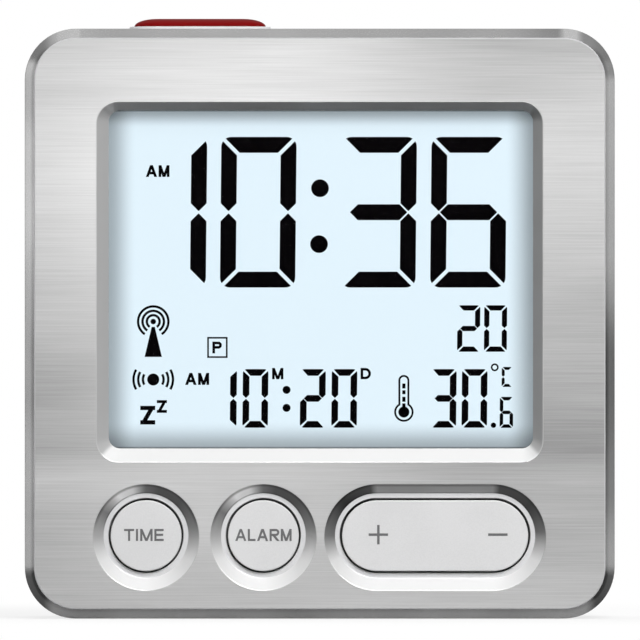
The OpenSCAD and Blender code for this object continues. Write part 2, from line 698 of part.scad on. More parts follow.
// Rocker: a pill with a rounded edge on two stub pins, hollow behind, with a stem over each dome
module rocker_section() {
    translate([-key_r, cap_y + cap_edge]) square([2 * key_r, rocker_skirt_y - cap_y]);
    translate([-key_r + cap_edge, cap_y]) square([2 * (key_r - cap_edge), cap_edge * 2]);
    for (s = [-1, 1]) translate([s * (key_r - cap_edge), cap_y + cap_edge]) circle(cap_edge);
}
module rocker_pill() translate([rocker_x, 0, key_z]) rotate([-90, 0, 0]) {
    for (s = [0, 180]) rotate([0, 0, s]) translate([rocker_half, 0, 0])
        rotate_extrude(angle = 180, start = -90) intersection() {
            rocker_section();
            translate([0, face_y]) square([2 * key_r, case_d]);
        }
    rotate([90, 0, 90]) translate([0, 0, -rocker_half]) linear_extrude(2 * rocker_half) rocker_section();
}
module plus_minus_rocker() color("lightgray") {
    difference() {
        union() {
            rocker_pill();
            slab(rocker_skirt_y, rocker_skirt_y + skirt_t)
                pill(rocker_x, key_z, rocker_half, key_r + skirt_w);
        }
        slab(cap_y + cap_wall, rocker_skirt_y + skirt_t + over)
            pill(rocker_x, key_z, rocker_half, key_r - cap_wall);
    }
    for (s = [-1, 1]) {
        peg(rocker_x + s * rocker_arm, key_z, cap_y + cap_wall - skin, stem_y, arm_r);
        translate([rocker_x, pivot_y, key_z + s * (key_r + pivot_l / 2)])
            cylinder(h = pivot_l + 2 * skirt_w - ear_gap, r = pivot_r, center = true);
    }
}

// Snooze bar: a crowned cap, hollow below, with a flange under the case top and a stem over its dome
module snooze_button() color("firebrick") {
    difference() {
        union() {
            hull() for (a = [0:15:90])
                translate([0, 0, crown_z + (snooze_top - crown_z - skin) * sin(a)])
                    linear_extrude(skin) snooze_outline(-crown_w * (1 - cos(a)));
            snooze_layer(flange_z, crown_z + skin, 0);
            snooze_layer(flange_z, flange_z + flange_t, flange_w);
        }
        snooze_layer(flange_z - over, case_h - cap_wall / 2, -cap_wall);
    }
    translate([snooze_x, snooze_y, snooze_stem_z])
        cylinder(h = case_h - cap_wall / 2 - snooze_stem_z + skin, r = stem_r);
}
module snooze_dome() color("slategray") translate([snooze_x, snooze_y, snooze_board_top])
    rotate_extrude() dome_profile(snooze_dome_h);
module snooze_board() color("seagreen") block(snooze_x - rib_in - groove + seat_gap,
    snooze_x + rib_in + groove - seat_gap, snooze_y - snooze_l / 2 + rib_stop + seat_gap,
    snooze_y + snooze_l / 2, snooze_board_z, snooze_board_top);

// Cells lie end for end, so that the bridge plate joins them in series
module cell() rotate([0, 90, 0]) rotate_extrude() {
    square([nub_r, cell_l]);
    translate([0, nub_l]) square([cell_r, cell_l - nub_l]);
}
module upper_cell() color("dimgray") translate([cell_x0, cell_y, upper_z]) cell();
module lower_cell() color("dimgray") translate([-cell_x0, cell_y, lower_z]) mirror([1, 0, 0]) cell();
function curl(i) = let (f = i / spring_n, a = 360 * spring_turns * f,
    r = spring_base + (spring_tip - spring_base) * f)
    [(spring_l - spring_wire - 2 * film_gap) * f, r * cos(a), r * sin(a)];
spring_path = [for (i = [0:spring_n]) curl(i)];
spring_least = min([for (i = [0:spring_n - 6], j = [i + 6:spring_n])
    norm(spring_path[i] - spring_path[j]) - spring_wire]);
echo(least_gap_between_spring_turns = spring_least);
module spring_at_left() translate([-bay_hw + contact_t + spring_wire / 2 + film_gap, cell_y, 0])
    tube(spring_path, spring_wire / 2, 6, [1, 0, 0]);
module battery_springs() color("silver") {
    translate([0, 0, lower_z]) spring_at_left();
    translate([0, 0, upper_z]) mirror([1, 0, 0]) spring_at_left();
}
module battery_plates() color("silver") {
    for (z = [lower_z, upper_z]) {
        block(-bay_hw, -bay_hw + contact_t, cell_y - contact_s / 2, cell_y + contact_s / 2,
            z - contact_s / 2, z + contact_s / 2);
        block(-bay_hw - tail_l, -bay_hw + contact_t, cell_y - tail_w / 2, cell_y + tail_w / 2,
            z - contact_t / 2, z + contact_t / 2);
    }
    block(bay_hw - contact_t, bay_hw, cell_y - contact_s / 2, cell_y + contact_s / 2,
        lower_z - contact_s / 2, upper_z + contact_s / 2);
}

// Aerial: a ferrite rod in two saddles, with a winding on a flanged former
module ferrite_rod() color("dimgray") axle(-rod_l / 2, rod_l / 2, rod_y, rod_z, rod_r);
module antenna_bobbin() color("whitesmoke") difference() {
    union() {
        axle(-coil_l / 2 - flange_side, coil_l / 2 + flange_side, rod_y, rod_z, coil_in);
        for (s = [-1, 1]) translate([s * (coil_l + flange_side) / 2, 0, 0])
            axle(-flange_side / 2, flange_side / 2, rod_y, rod_z, coil_r + bobbin_lip);
    }
    axle(-coil_l, coil_l, rod_y, rod_z, rod_r + film_gap);
}
module antenna_coil() color("peru") difference() {
    axle(-coil_l / 2 + film_gap, coil_l / 2 - film_gap, rod_y, rod_z, coil_r);
    axle(-coil_l, coil_l, rod_y, rod_z, coil_in + skin);
}

// Sounder: a brass disc with its ceramic layer
module buzzer_disc() color("goldenrod") peg(buzzer_x, buzzer_z, disc_y, disc_y + disc_t, buzzer_r);
module buzzer_ceramic() color("whitesmoke") peg(buzzer_x, buzzer_z, disc_y - ceramic_t, disc_y, ceramic_r);

// Screws with pan heads, a cross recess and plain shanks
module screw(x, z, y, r, l, hr, hh) difference() {
    turned(x, z) translate([0, y]) {
        translate([0, -l]) square([r, l + skin]);
        square([hr, hh - head_edge]);
        translate([0, hh - head_edge - skin]) square([hr - head_edge, head_edge]);
    }
    translate([x, y + hh, z]) for (a = [0, 90]) rotate([0, a, 0])
        cube([hr * 1.2, hh, slot_w], center = true);
}
module board_screws() color("silver") for (p = board_xz)
    screw(p.x, p.y, board_back, board_screw_r, board_screw_l, board_head_r, board_head_h);
module case_screws() color("silver") for (p = post_xz)
    screw(p.x, p.y, head_y, screw_r, screw_l, head_r, head_h);

// Leads run from their terminals to pads on the back of the main board
module lead(from, out, pad) tube(bezier(from, from + out, pad + [0, lead_rise, 0], pad + [0, film_gap, 0]),
    lead_r, 8, [0.3, 0.1, 1]);
module battery_leads() color("firebrick") for (z = [lower_z, upper_z])
    lead([-bay_hw - tail_l - lead_r, cell_y, z], [-lead_out, bay_floor - bay_wall - lead_out - cell_y, 0],
        [-board_hw + pad_in, board_back, z + pad_in]);
module buzzer_leads() color("black") for (s = [0, 1])
    lead([buzzer_x + s * (ceramic_r + buzzer_r) / 2, disc_y - (1 - s) * ceramic_t - film_gap, buzzer_z],
        [0, -lead_rise, 0], [buzzer_x + pad_in * (2 * s - 1), board_back, buzzer_z + 2 * pad_in]);
module antenna_leads() color("peru") for (s = [-1, 1])
    lead([s * coil_l / 4, rod_y - coil_r - film_gap, rod_z], [0, -lead_out, 0],
        [s * aerial_pad_x, board_back, rod_z - aerial_pad_drop]);
module snooze_leads() color("navy") for (s = [-1, 1])
    lead([snooze_x + s * snooze_pad_x, snooze_y + snooze_l / 2 - snooze_lead_in, snooze_board_z - lead_r],
        [0, lead_out, -lead_out / 3], [snooze_x + s * snooze_pad_x, board_back, board_z1 - snooze_pad_drop]);

front_panel();
front_housing();
rear_housing();
battery_door();
window_lens();
lcd_polarizer();
lcd_front_glass();
lcd_rear_glass();
light_guide();
reflector_sheet();
backlight_leds();
lcd_frame();
zebra_strip();
main_board();
controller_blob();
receiver_chip();
quartz_crystal();
temperature_sensor();
keypad_mat();
time_button();
alarm_button();
plus_minus_rocker();
snooze_button();
snooze_dome();
snooze_board();
upper_cell();
lower_cell();
battery_springs();
battery_plates();
ferrite_rod();
antenna_bobbin();
antenna_coil();
buzzer_disc();
buzzer_ceramic();
board_screws();
case_screws();
battery_leads();
buzzer_leads();
antenna_leads();
snooze_leads();
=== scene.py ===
import bpy
import json
import math
from itertools import count
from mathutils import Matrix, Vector


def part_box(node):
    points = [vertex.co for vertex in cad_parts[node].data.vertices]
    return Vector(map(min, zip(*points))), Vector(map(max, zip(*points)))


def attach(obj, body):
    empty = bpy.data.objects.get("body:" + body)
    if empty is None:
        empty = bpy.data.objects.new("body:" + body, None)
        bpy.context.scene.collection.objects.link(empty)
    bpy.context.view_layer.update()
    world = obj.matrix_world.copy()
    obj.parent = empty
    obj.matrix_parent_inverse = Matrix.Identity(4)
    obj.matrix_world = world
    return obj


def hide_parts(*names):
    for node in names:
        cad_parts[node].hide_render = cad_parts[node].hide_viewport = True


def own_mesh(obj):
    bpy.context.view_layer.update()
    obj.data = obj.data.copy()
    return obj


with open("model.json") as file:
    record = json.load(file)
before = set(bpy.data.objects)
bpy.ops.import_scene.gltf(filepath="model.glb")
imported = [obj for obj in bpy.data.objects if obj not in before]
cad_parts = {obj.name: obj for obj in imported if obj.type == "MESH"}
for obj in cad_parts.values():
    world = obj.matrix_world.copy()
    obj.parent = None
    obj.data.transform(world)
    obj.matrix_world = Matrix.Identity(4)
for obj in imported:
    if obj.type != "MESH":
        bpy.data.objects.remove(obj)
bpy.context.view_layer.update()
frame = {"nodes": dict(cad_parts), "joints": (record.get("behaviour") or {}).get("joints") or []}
nodes = frame["nodes"]
joints = {joint["name"]: joint for joint in frame["joints"]}
mm = 0.001
upright = (math.pi / 2, 0, 0)  # stands a flat shape up so that it faces -Y, and lays a bar along Y
sideways = (0, math.pi / 2, 0)  # lays a bar along X
unturned = (0, 0, 0)
print("frame loaded:", len(nodes), "nodes")


# modelling by operator; angles are in degrees, and a pill's values are shares
making = {"merge": 0.0005 * mm, "cadMerge": 0.002 * mm, "cadFlat": 0.5, "cadAngle": 35, "smoothOver": 8,
          "facing": 0.9, "barSides": 48, "pillSteps": 24, "pillShare": 0.9995, "pillMerge": 0.002}


def activate(piece):
    bpy.ops.object.select_all(action="DESELECT")
    piece.select_set(True)
    bpy.context.view_layer.objects.active = piece


def startEdit(piece, mode):
    activate(piece)
    bpy.ops.object.mode_set(mode="EDIT")
    bpy.ops.mesh.select_mode(type=mode)
    bpy.ops.mesh.select_all(action="SELECT")


def endEdit():
    bpy.ops.object.mode_set(mode="OBJECT")


def pick(piece, mode, test):  # edit mode, with only what passes the test selected
    startEdit(piece, mode)
    bpy.ops.mesh.select_all(action="DESELECT")
    endEdit()
    mesh = piece.data
    if mode == "FACE":
        for face in mesh.polygons:
            face.select = test(face.center, face.normal)
    elif mode == "EDGE":
        for edge in mesh.edges:
            edge.select = test(*(mesh.vertices[i].co for i in edge.vertices))
    else:
        for vert in mesh.vertices:
            vert.select = test(vert.co)
    bpy.ops.object.mode_set(mode="EDIT")


def pickFacing(piece, way, least=making["facing"]):  # the faces that look that way
    pick(piece, "FACE", lambda spot, normal: normal.dot(Vector(way)) > least)


def settle(piece, name):  # the place goes into the mesh
    activate(piece)
    bpy.ops.object.transform_apply(location=True, rotation=True, scale=True)
    piece.name = piece.data.name = name
    return piece


def pull(x, y, z):
    bpy.ops.mesh.extrude_region_move(TRANSFORM_OT_translate={"value": (x, y, z)})


def inset(width, depth=0):
    bpy.ops.mesh.inset(thickness=width, depth=depth)


def faceOutwards(piece):
    startEdit(piece, "FACE")
    bpy.ops.mesh.remove_doubles(threshold=making["merge"])
    bpy.ops.mesh.normals_make_consistent(inside=False)
    endEdit()


def hollowOut(piece, line):  # a flat shape becomes a frame of that width
    startEdit(piece, "FACE")
    inset(line)
    bpy.ops.mesh.delete(type="FACE")
    endEdit()


def modify(piece, kind, **settings):
    activate(piece)
    modifier = piece.modifiers.new(kind.lower(), kind)
    for key, value in settings.items():
        setattr(modifier, key, value)
    bpy.ops.object.modifier_apply(modifier=modifier.name)


def cutAway(piece, cutter):
    modify(piece, "BOOLEAN", operation="DIFFERENCE", solver="EXACT", object=cutter)
    bpy.data.objects.remove(cutter)


def roundEdges(piece, width, steps=2, angle=30):  # soft edges, flats left flat; width 0 only shades
    if width:
        modify(piece, "BEVEL", width=width, segments=steps, limit_method="ANGLE",
               angle_limit=math.radians(angle), use_clamp_overlap=True, miter_outer="MITER_ARC")
    activate(piece)
    bpy.ops.object.shade_smooth_by_angle(angle=math.radians(angle + making["smoothOver"]))
    modify(piece, "WEIGHTED_NORMAL", mode="FACE_AREA", weight=100, keep_sharp=True)


def joinAs(name, parts):
    activate(parts[0])
    for part in parts[1:]:
        part.select_set(True)
    bpy.ops.object.join()
    return settle(parts[0], name)


def flatPlate(name, width, height, place=unturned, turn=unturned):
    bpy.ops.object.select_all(action="DESELECT")
    bpy.ops.mesh.primitive_plane_add(size=1, location=place, rotation=turn)
    bpy.context.object.scale = (width, height, 1)
    return settle(bpy.context.object, name)


def roundedPlate(name, width, height, radius, place, turn=upright, steps=12):
    piece = flatPlate(name, width, height, place, turn)
    startEdit(piece, "VERT")
    bpy.ops.mesh.bevel(affect="VERTICES", offset=radius, segments=steps, profile=0.5)
    endEdit()
    return piece


def pillPlate(name, radius, half, place):  # half is half the straight run; 0 gives a circle
    piece = roundedPlate(name, 2 * (half + radius), 2 * radius, making["pillShare"] * radius, place,
                         steps=making["pillSteps"])
    startEdit(piece, "VERT")
    bpy.ops.mesh.remove_doubles(threshold=making["pillMerge"] * radius)
    endEdit()
    return piece


def loft(name, front, back):
    piece = joinAs(name, [front, back])
    startEdit(piece, "FACE")
    bpy.ops.mesh.delete(type="ONLY_FACE")
    bpy.ops.mesh.select_mode(type="EDGE")
    bpy.ops.mesh.select_all(action="SELECT")
    bpy.ops.mesh.bridge_edge_loops()
    bpy.ops.mesh.select_all(action="SELECT")
    bpy.ops.mesh.fill_holes(sides=0)
    endEdit()
    faceOutwards(piece)
    return piece


def post(name, radius, start, end, turn=upright):  # a round bar, which turn lays along start to end
    bpy.ops.object.select_all(action="DESELECT")
    middle = [(a + b) / 2 for a, b in zip(start, end)]
    bpy.ops.mesh.primitive_cylinder_add(vertices=making["barSides"], radius=radius,
                                        depth=math.dist(start, end), location=middle, rotation=turn)
    return settle(bpy.context.object, name)


def refinedCopy(node, name, edge):  # the CAD form with merged faces and soft edges
    piece = nodes[node].copy()
    piece.data = nodes[node].data.copy()
    for key in list(piece.keys()):
        del piece[key]
    bpy.context.collection.objects.link(piece)
    piece.parent = None
    piece.data.materials.clear()
    settle(piece, name)
    bpy.ops.mesh.customdata_custom_splitnormals_clear()
    startEdit(piece, "FACE")
    bpy.ops.mesh.remove_doubles(threshold=making["cadMerge"])
    bpy.ops.mesh.dissolve_limited(angle_limit=math.radians(making["cadFlat"]))
    endEdit()
    roundEdges(piece, edge, angle=making["cadAngle"])
    return piece


def middleOf(node):
    low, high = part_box(node)
    return (low + high) / 2


def register(piece, body, slot, *stoodFor):
    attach(piece, body)
    if stoodFor:
        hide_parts(*stoodFor)


def paint(piece, *finishes):
    piece.data.materials.clear()
    for each in finishes:
        piece.data.materials.append(each)


def dress(finish, *names):  # CAD nodes that stay in view
    for name in names:
        for slot in nodes[name].material_slots:
            slot.material = finish


# finishes
class Wire:
    def __init__(self, tree, socket=None):
        self.tree = tree
        self.socket = socket

    def node(self, kind, settings=None, inputs=None, output=0):
        made = self.tree.nodes.new("ShaderNode" + kind)
        for key, value in (settings or {}).items():
            if key == "stops":
                ramp = made.color_ramp.elements
                while len(ramp) < len(value):
                    ramp.new(0.5)
                for element, (place, colour) in zip(ramp, value):
                    element.position = place
                    element.color = colour
            else:
                setattr(made, key, value)
        for key, value in (inputs or {}).items():
            if isinstance(value, Wire):
                self.tree.links.new(value.socket, made.inputs[key])
            else:
                made.inputs[key].default_value = value
        return Wire(self.tree, made.outputs[output])

    def math(self, operation, first, second=0.0):
        return self.node("Math", {"operation": operation}, {0: first, 1: second})

    def __add__(self, other):
        return self.math("ADD", self, other)

    def __sub__(self, other):
        return self.math("SUBTRACT", self, other)

    def __rsub__(self, other):
        return self.math("SUBTRACT", other, self)

    def __mul__(self, other):
        return self.math("MULTIPLY", self, other)

    def __truediv__(self, other):
        return self.math("DIVIDE", self, other)

    __radd__ = __add__
    __rmul__ = __mul__

    def least(self, other):
        return self.math("MINIMUM", self, other)

    def most(self, other):
        return self.math("MAXIMUM", self, other)

    def clip(self):
        return self.most(0.0).least(1.0)

    def size(self):
        return self.math("ABSOLUTE", self)

    def coords(self):
        return self.node("TexCoord", output="Object")

    def axis(self, index):
        return self.node("SeparateXYZ", inputs={0: self.coords()}, output=index)

    def noise(self, scale, detail=2.0, stretch=(1, 1, 1)):
        place = self.node("Mapping", inputs={"Vector": self.coords(), "Scale": stretch})
        return self.node("TexNoise", inputs={"Vector": place, "Scale": scale, "Detail": detail})

    def fade(self, value, start, end):  # 0 before start, 1 past end
        return self.node("MapRange", {"interpolation_type": "SMOOTHSTEP"},
                         {0: value, 1: start, 2: end, 3: 0.0, 4: 1.0})

    def blend(self, factor, first, second):  # a colour Mix has its colours at sockets 6 and 7
        return self.node("Mix", {"data_type": "RGBA"}, {0: factor, 6: first, 7: second}, output=2)

    def ramp(self, value, tones):
        return self.node("ValToRGB", {"stops": [(place, grey(tone)) for place, tone in tones]}, {0: value})

    def bump(self, height, strength, distance):
        return self.node("Bump", inputs={"Height": height, "Strength": strength, "Distance": distance})

    def ray(self, kind):
        return self.node("LightPath", output=f"Is {kind} Ray")


def grey(value):
    return (value, value, value, 1)


def newFinish(name, wiring, **constants):  # wiring(wire) gives what changes over the surface
    finish = bpy.data.materials.new(name)
    finish.use_nodes = True
    tree = finish.node_tree
    shader = tree.nodes["Principled BSDF"]
    for key, value in constants.items():
        shader.inputs[key.replace("_", " ")].default_value = value
    for key, wire in wiring(Wire(tree)).items():
        tree.links.new(wire.socket, shader.inputs[key])
    return finish


# brushed face: fine streaks, painted light in slow tones from its foot to its top, and a painted sheen that
# falls off to the sides
brushing = {"stretch": (60, 60, 5200), "broad": (14, 14, 70), "streaks": 0.46, "patches": 0.7,
            "dark": 0.28, "light": 0.72, "rough": 0.34, "roughSpread": 0.14, "bump": (0.12, 0.03 * mm),
            "sheenX": -12 * mm, "sheenFrom": 4 * mm, "sheenTo": 42 * mm, "sheenFoot": 16 * mm, "fall": 0.38,
            "height": 90 * mm,
            "tones": ((0.0, 0.46), (0.24, 0.72), (0.29, 0.38), (0.42, 0.57), (0.52, 0.7), (0.69, 1.0),
                      (0.83, 1.0), (0.9, 0.77), (1.0, 0.64))}


def brushedWiring(wire):
    streak = wire.noise(1, 4, brushing["stretch"])
    broad = wire.noise(1, 2, brushing["broad"])
    # painted light: tones by height, and a painted sheen around sheenX that darkens toward the sides, but
    # not near the foot
    paintedLightByHeight = wire.ramp(wire.axis(2) / brushing["height"], brushing["tones"])
    away = (wire.axis(0) - brushing["sheenX"]).size()
    fall = wire.fade(away, brushing["sheenFrom"], brushing["sheenTo"]) * brushing["fall"]
    fall = fall * wire.fade(wire.axis(2), 0.0, brushing["sheenFoot"])
    tone = paintedLightByHeight + (streak - 0.5) * brushing["streaks"] + (broad - 0.5) * brushing["patches"] - fall
    return {
        "Base Color": wire.blend(tone.clip(), grey(brushing["dark"]), grey(brushing["light"])),
        "Roughness": brushing["rough"] + streak * brushing["roughSpread"],
        "Normal": wire.bump(streak, *brushing["bump"]),
    }


# satin: any finish with a fine grain and faint clouds
grain = {"detail": 3, "cloud": 90, "tones": (0.35, 0.65), "roughSpread": 0.08, "bump": 0.1}


def satin(name, colour, rough, spread=0.06, scale=2600, depth=0.01 * mm, **constants):
    dark, light = ((*(channel * share for channel in colour), 1) for share in (1 - spread, 1 + spread))

    def wiring(wire):
        speck = wire.noise(scale, grain["detail"])
        cloud = wire.noise(grain["cloud"])
        tone = wire.fade(speck * 0.5 + cloud * 0.5, *grain["tones"])
        return {
            "Base Color": wire.blend(tone, dark, light),
            "Roughness": rough + speck * grain["roughSpread"],
            "Normal": wire.bump(speck, grain["bump"], depth),
        }
    return newFinish(name, wiring, **constants)


matt = {"Metallic": 0.05, "Specular_IOR_Level": 0.15}
brushedMetal = newFinish("brushedMetal", brushedWiring, Metallic=0.7)
ringMetal = satin("ringMetal", (0.7, 0.7, 0.71), 0.38, 0.03, Metallic=0.2)
edgeMetal = satin("edgeMetal", (0.58, 0.58, 0.59), 0.6, 0.02, **matt)
silverPlastic = satin("silverPlastic", (0.62, 0.62, 0.63), 0.58, 0.02, 5200, **matt)
keySilver = satin("keySilver", (0.8, 0.8, 0.805), 0.38, 0.03, 5200, Metallic=0.1)
legendGrey = satin("legendGrey", (0.15, 0.15, 0.154), 0.5)
# near-black painted shade for the deep gaps round the keys
gapPaintedShade = satin("gapPaintedShade", (0.05, 0.05, 0.052), 0.6)
snoozeRed = satin("snoozeRed", (0.17, 0.002, 0.0025), 0.3, 0.05, 3000, 0.004 * mm, Specular_IOR_Level=0.05)
print("metal and plastic finishes ready")


# camera, at the photograph's straight view
view = {"lens": 1200, "sensor": 36, "frameWidth": 97.6 * mm, "x": 0.04 * mm, "z": 45.55 * mm}
panelLow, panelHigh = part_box("front_panel")
viewY = panelLow.y - view["frameWidth"] * view["lens"] / view["sensor"]
bpy.ops.object.camera_add(location=(view["x"], viewY, view["z"]), rotation=upright)
camera = bpy.context.object
camera.data.lens = view["lens"]
camera.data.sensor_width = view["sensor"]
bpy.context.scene.camera = camera
print("camera set")


# keys: places come from the CAD nodes
keys = {"radius": 5.4 * mm, "gap": 0.28 * mm, "skirt": 0.8 * mm, "skirtDepth": 1.1 * mm,
        "skirtGap": 0.2 * mm, "edge": 0.15 * mm, "edgeShare": 0.98, "edgeSteps": 6, "border": 0.1 * mm,
        "flat": 0.999, "slack": 0.01 * mm, "flank": 1.6 * mm, "stem": 2.4 * mm, "arm": 2 * mm,
        "armOut": 0.7 * mm, "tilt": 3, "pin": 0.8 * mm, "pinIn": 1.4 * mm}
holeRadius = keys["radius"] + keys["gap"]
tiltRise = math.sin(math.radians(keys["tilt"]))


def keyCap(name, node, half):
    low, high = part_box(node)
    centre = (low + high) / 2
    cap = pillPlate(name, keys["radius"], half, (centre.x, low.y + keys["edge"], centre.z))
    startEdit(cap, "FACE")
    pull(0, -keys["edge"], 0)
    endEdit()
    pick(cap, "EDGE", lambda a, b: max(a.y, b.y) < low.y + keys["slack"])
    bpy.ops.mesh.bevel(affect="EDGES", offset=keys["edge"] * keys["edgeShare"], segments=keys["edgeSteps"],
                       profile=0.5)
    endEdit()
    pickFacing(cap, (0, -1, 0), keys["flat"])
    inset(keys["border"])
    endEdit()
    reach = half + keys["radius"] + keys["skirt"]
    skirtY = panelHigh.y + keys["skirtGap"] + (reach * tiltRise if half else 0)
    pickFacing(cap, (0, 1, 0))
    pull(0, keys["flank"] - keys["edge"], 0)
    pull(0, skirtY - low.y - keys["flank"], 0)
    pull(0, 0, 0)
    bpy.ops.transform.resize(value=(reach / (reach - keys["skirt"]), 1, 1 + keys["skirt"] / keys["radius"]))
    pull(0, keys["skirtDepth"], 0)
    endEdit()
    faceOutwards(cap)
    bars = []
    if half:  # the rocker turns on two pins and presses with two arms
        pinY = panelHigh.y + keys["pinIn"]
        bars.append(post("pins", keys["pin"], (centre.x, pinY, low.z), (centre.x, pinY, high.z), unturned))
        for side in (-1, 1):
            x = centre.x + side * (half + keys["armOut"])
            bars.append(post("arm", keys["arm"], (x, skirtY, centre.z), (x, high.y, centre.z)))
    else:
        bars.append(post("stem", keys["stem"], (centre.x, skirtY, centre.z), (centre.x, high.y, centre.z)))
    cap = joinAs(name, [cap] + bars)
    roundEdges(cap, 0)
    paint(cap, keySilver, gapPaintedShade)
    for face in cap.data.polygons:  # the silver ends down the flank, inside the gap, where a near-black painted shade takes over
        face.material_index = 1 if face.center.y > low.y + keys["flank"] else 0
    return cap


rockerLow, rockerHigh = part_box("plus_minus_rocker")
rockerHalf = (rockerHigh.x - rockerLow.x) / 2 - keys["skirt"] - keys["radius"]
for name, node, body, half in (("timeCap", "time_button", "time_key", 0),
                               ("alarmCap", "alarm_button", "alarm_key", 0),
                               ("rockerCap", "plus_minus_rocker", "rocker", rockerHalf)):
    register(keyCap(name, node, half), body, "key_plastic", node)
print("keys modelled")


# face plate: chamfered rim, bevelled window, dished wells
plate = {"corner": 7.8 * mm, "cornerSteps": 16, "chamfer": 1.5 * mm, "edge": 0.11 * mm, "edgeAngle": 25,
         "lensLap": 1.5 * mm, "windowCorner": 3.3 * mm, "viewCorner": 1.7 * mm,
         "left": 1.85 * mm, "right": 1.5 * mm, "top": 1.3 * mm, "bottom": 2.1 * mm,  # window bevel
         "ring": 0.8 * mm, "wellBevel": 1.6 * mm, "wellDepth": 1.6 * mm, "wellLift": 0.25 * mm,
         "over": 0.1, "past": 1 * mm,  # the cutters run on, by a share of their depth or by this length
         "flat": 0.97, "rounded": (0.78, 0.999),  # how far a flat or a rounded face looks ahead
         "rimSlack": 0.02 * mm, "faceSlack": 0.05 * mm}
plateMid = (panelLow + panelHigh) / 2
plateHalf = (panelHigh.x - panelLow.x) / 2
cornerAt = plateHalf - plate["corner"]
lap = Vector((plate["lensLap"], 0, plate["lensLap"]))
lensLow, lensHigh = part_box("window_lens")
viewLow, viewHigh = lensLow + lap, lensHigh - lap  # clear opening at the lens
viewMid, viewHalf = (viewLow + viewHigh) / 2, (viewHigh - viewLow) / 2
wells = {"timeWell": {"spot": middleOf("time_button"), "half": 0, "tones": "round"},
         "alarmWell": {"spot": middleOf("alarm_button"), "half": 0, "tones": "round"},
         "rockerWell": {"spot": middleOf("plus_minus_rocker"), "half": rockerHalf, "tones": "long"}}


def windowPlate(depth, y):  # depth is 0 at the face and 1 at the lens
    back = 1 - depth
    x0, x1 = viewLow.x - plate["left"] * back, viewHigh.x + plate["right"] * back
    z0, z1 = viewLow.z - plate["bottom"] * back, viewHigh.z + plate["top"] * back
    radius = plate["windowCorner"] + (plate["viewCorner"] - plate["windowCorner"]) * depth
    return roundedPlate("windowCut", x1 - x0, z1 - z0, radius, ((x0 + x1) / 2, y, (z0 + z1) / 2))


def wellPlate(well, depth, y):  # depth is 0 at the face and 1 at the well's floor
    radius = holeRadius + plate["ring"] + plate["wellBevel"] * (1 - depth)
    z = well["spot"].z - plate["wellLift"] * (1 - depth)
    return pillPlate("wellCut", radius, well["half"], (well["spot"].x, y, z))


def holePlate(well, y):
    return pillPlate("holeCut", holeRadius, well["half"], (well["spot"].x, y, well["spot"].z))


facePlate = roundedPlate("facePlate", panelHigh.x - panelLow.x, panelHigh.z - panelLow.z, plate["corner"],
                         (0, panelHigh.y, (panelLow.z + panelHigh.z) / 2), steps=plate["cornerSteps"])
startEdit(facePlate, "FACE")
pull(0, panelLow.y + plate["chamfer"] - panelHigh.y, 0)
inset(plate["chamfer"], plate["chamfer"])
endEdit()
faceOutwards(facePlate)
thick = panelHigh.y - panelLow.y
cutAway(facePlate, loft("windowCut", windowPlate(-plate["over"], panelLow.y - plate["over"] * thick),
                        windowPlate(1 + plate["over"], panelHigh.y + plate["over"] * thick)))
wellFront = panelLow.y - plate["over"] * plate["wellDepth"]
wellBack = panelLow.y + plate["wellDepth"]
for well in wells.values():
    cutAway(facePlate, loft("wellCut", wellPlate(well, -plate["over"], wellFront),
                            wellPlate(well, 1, wellBack)))
    cutAway(facePlate, loft("holeCut", holePlate(well, panelLow.y),
                            holePlate(well, panelHigh.y + plate["past"])))
roundEdges(facePlate, plate["edge"], angle=plate["edgeAngle"])

# polished rim with painted reflections: its sides dip darker below the middle, its lower corners are
# painted dark as shade, and its top edge has a painted glint as it turns; tones run from 0, dark, to 1,
# light
rim = {"dark": 0.05, "light": 0.85, "mean": 0.61, "rise": 0.08, "side": 0.08, "sideRise": 0.08,
       "sideFall": 0.03, "paintedDip": 0.29, "dipSide": 0.17, "dipAt": -9 * mm, "dipReach": 27 * mm,
       "level": 0.095, "turn": 3 * mm, "topFall": 0.26, "topSide": (0.2, 0.8), "cloud": 70, "patches": 0.45,
       "corner": 0.26, "cornerRise": 0.19, "cornerLow": (-0.6 * mm, 1.4 * mm),
       "cornerOut": (3.2 * mm, 5.2 * mm), "top": (0.9, 0.95), "paintedGlint": 0.8, "glintHalf": 2.2 * mm,
       "line": 0.16, "lineIn": (0.15, 0.5), "rough": 0.2, "roughSpread": 0.1}


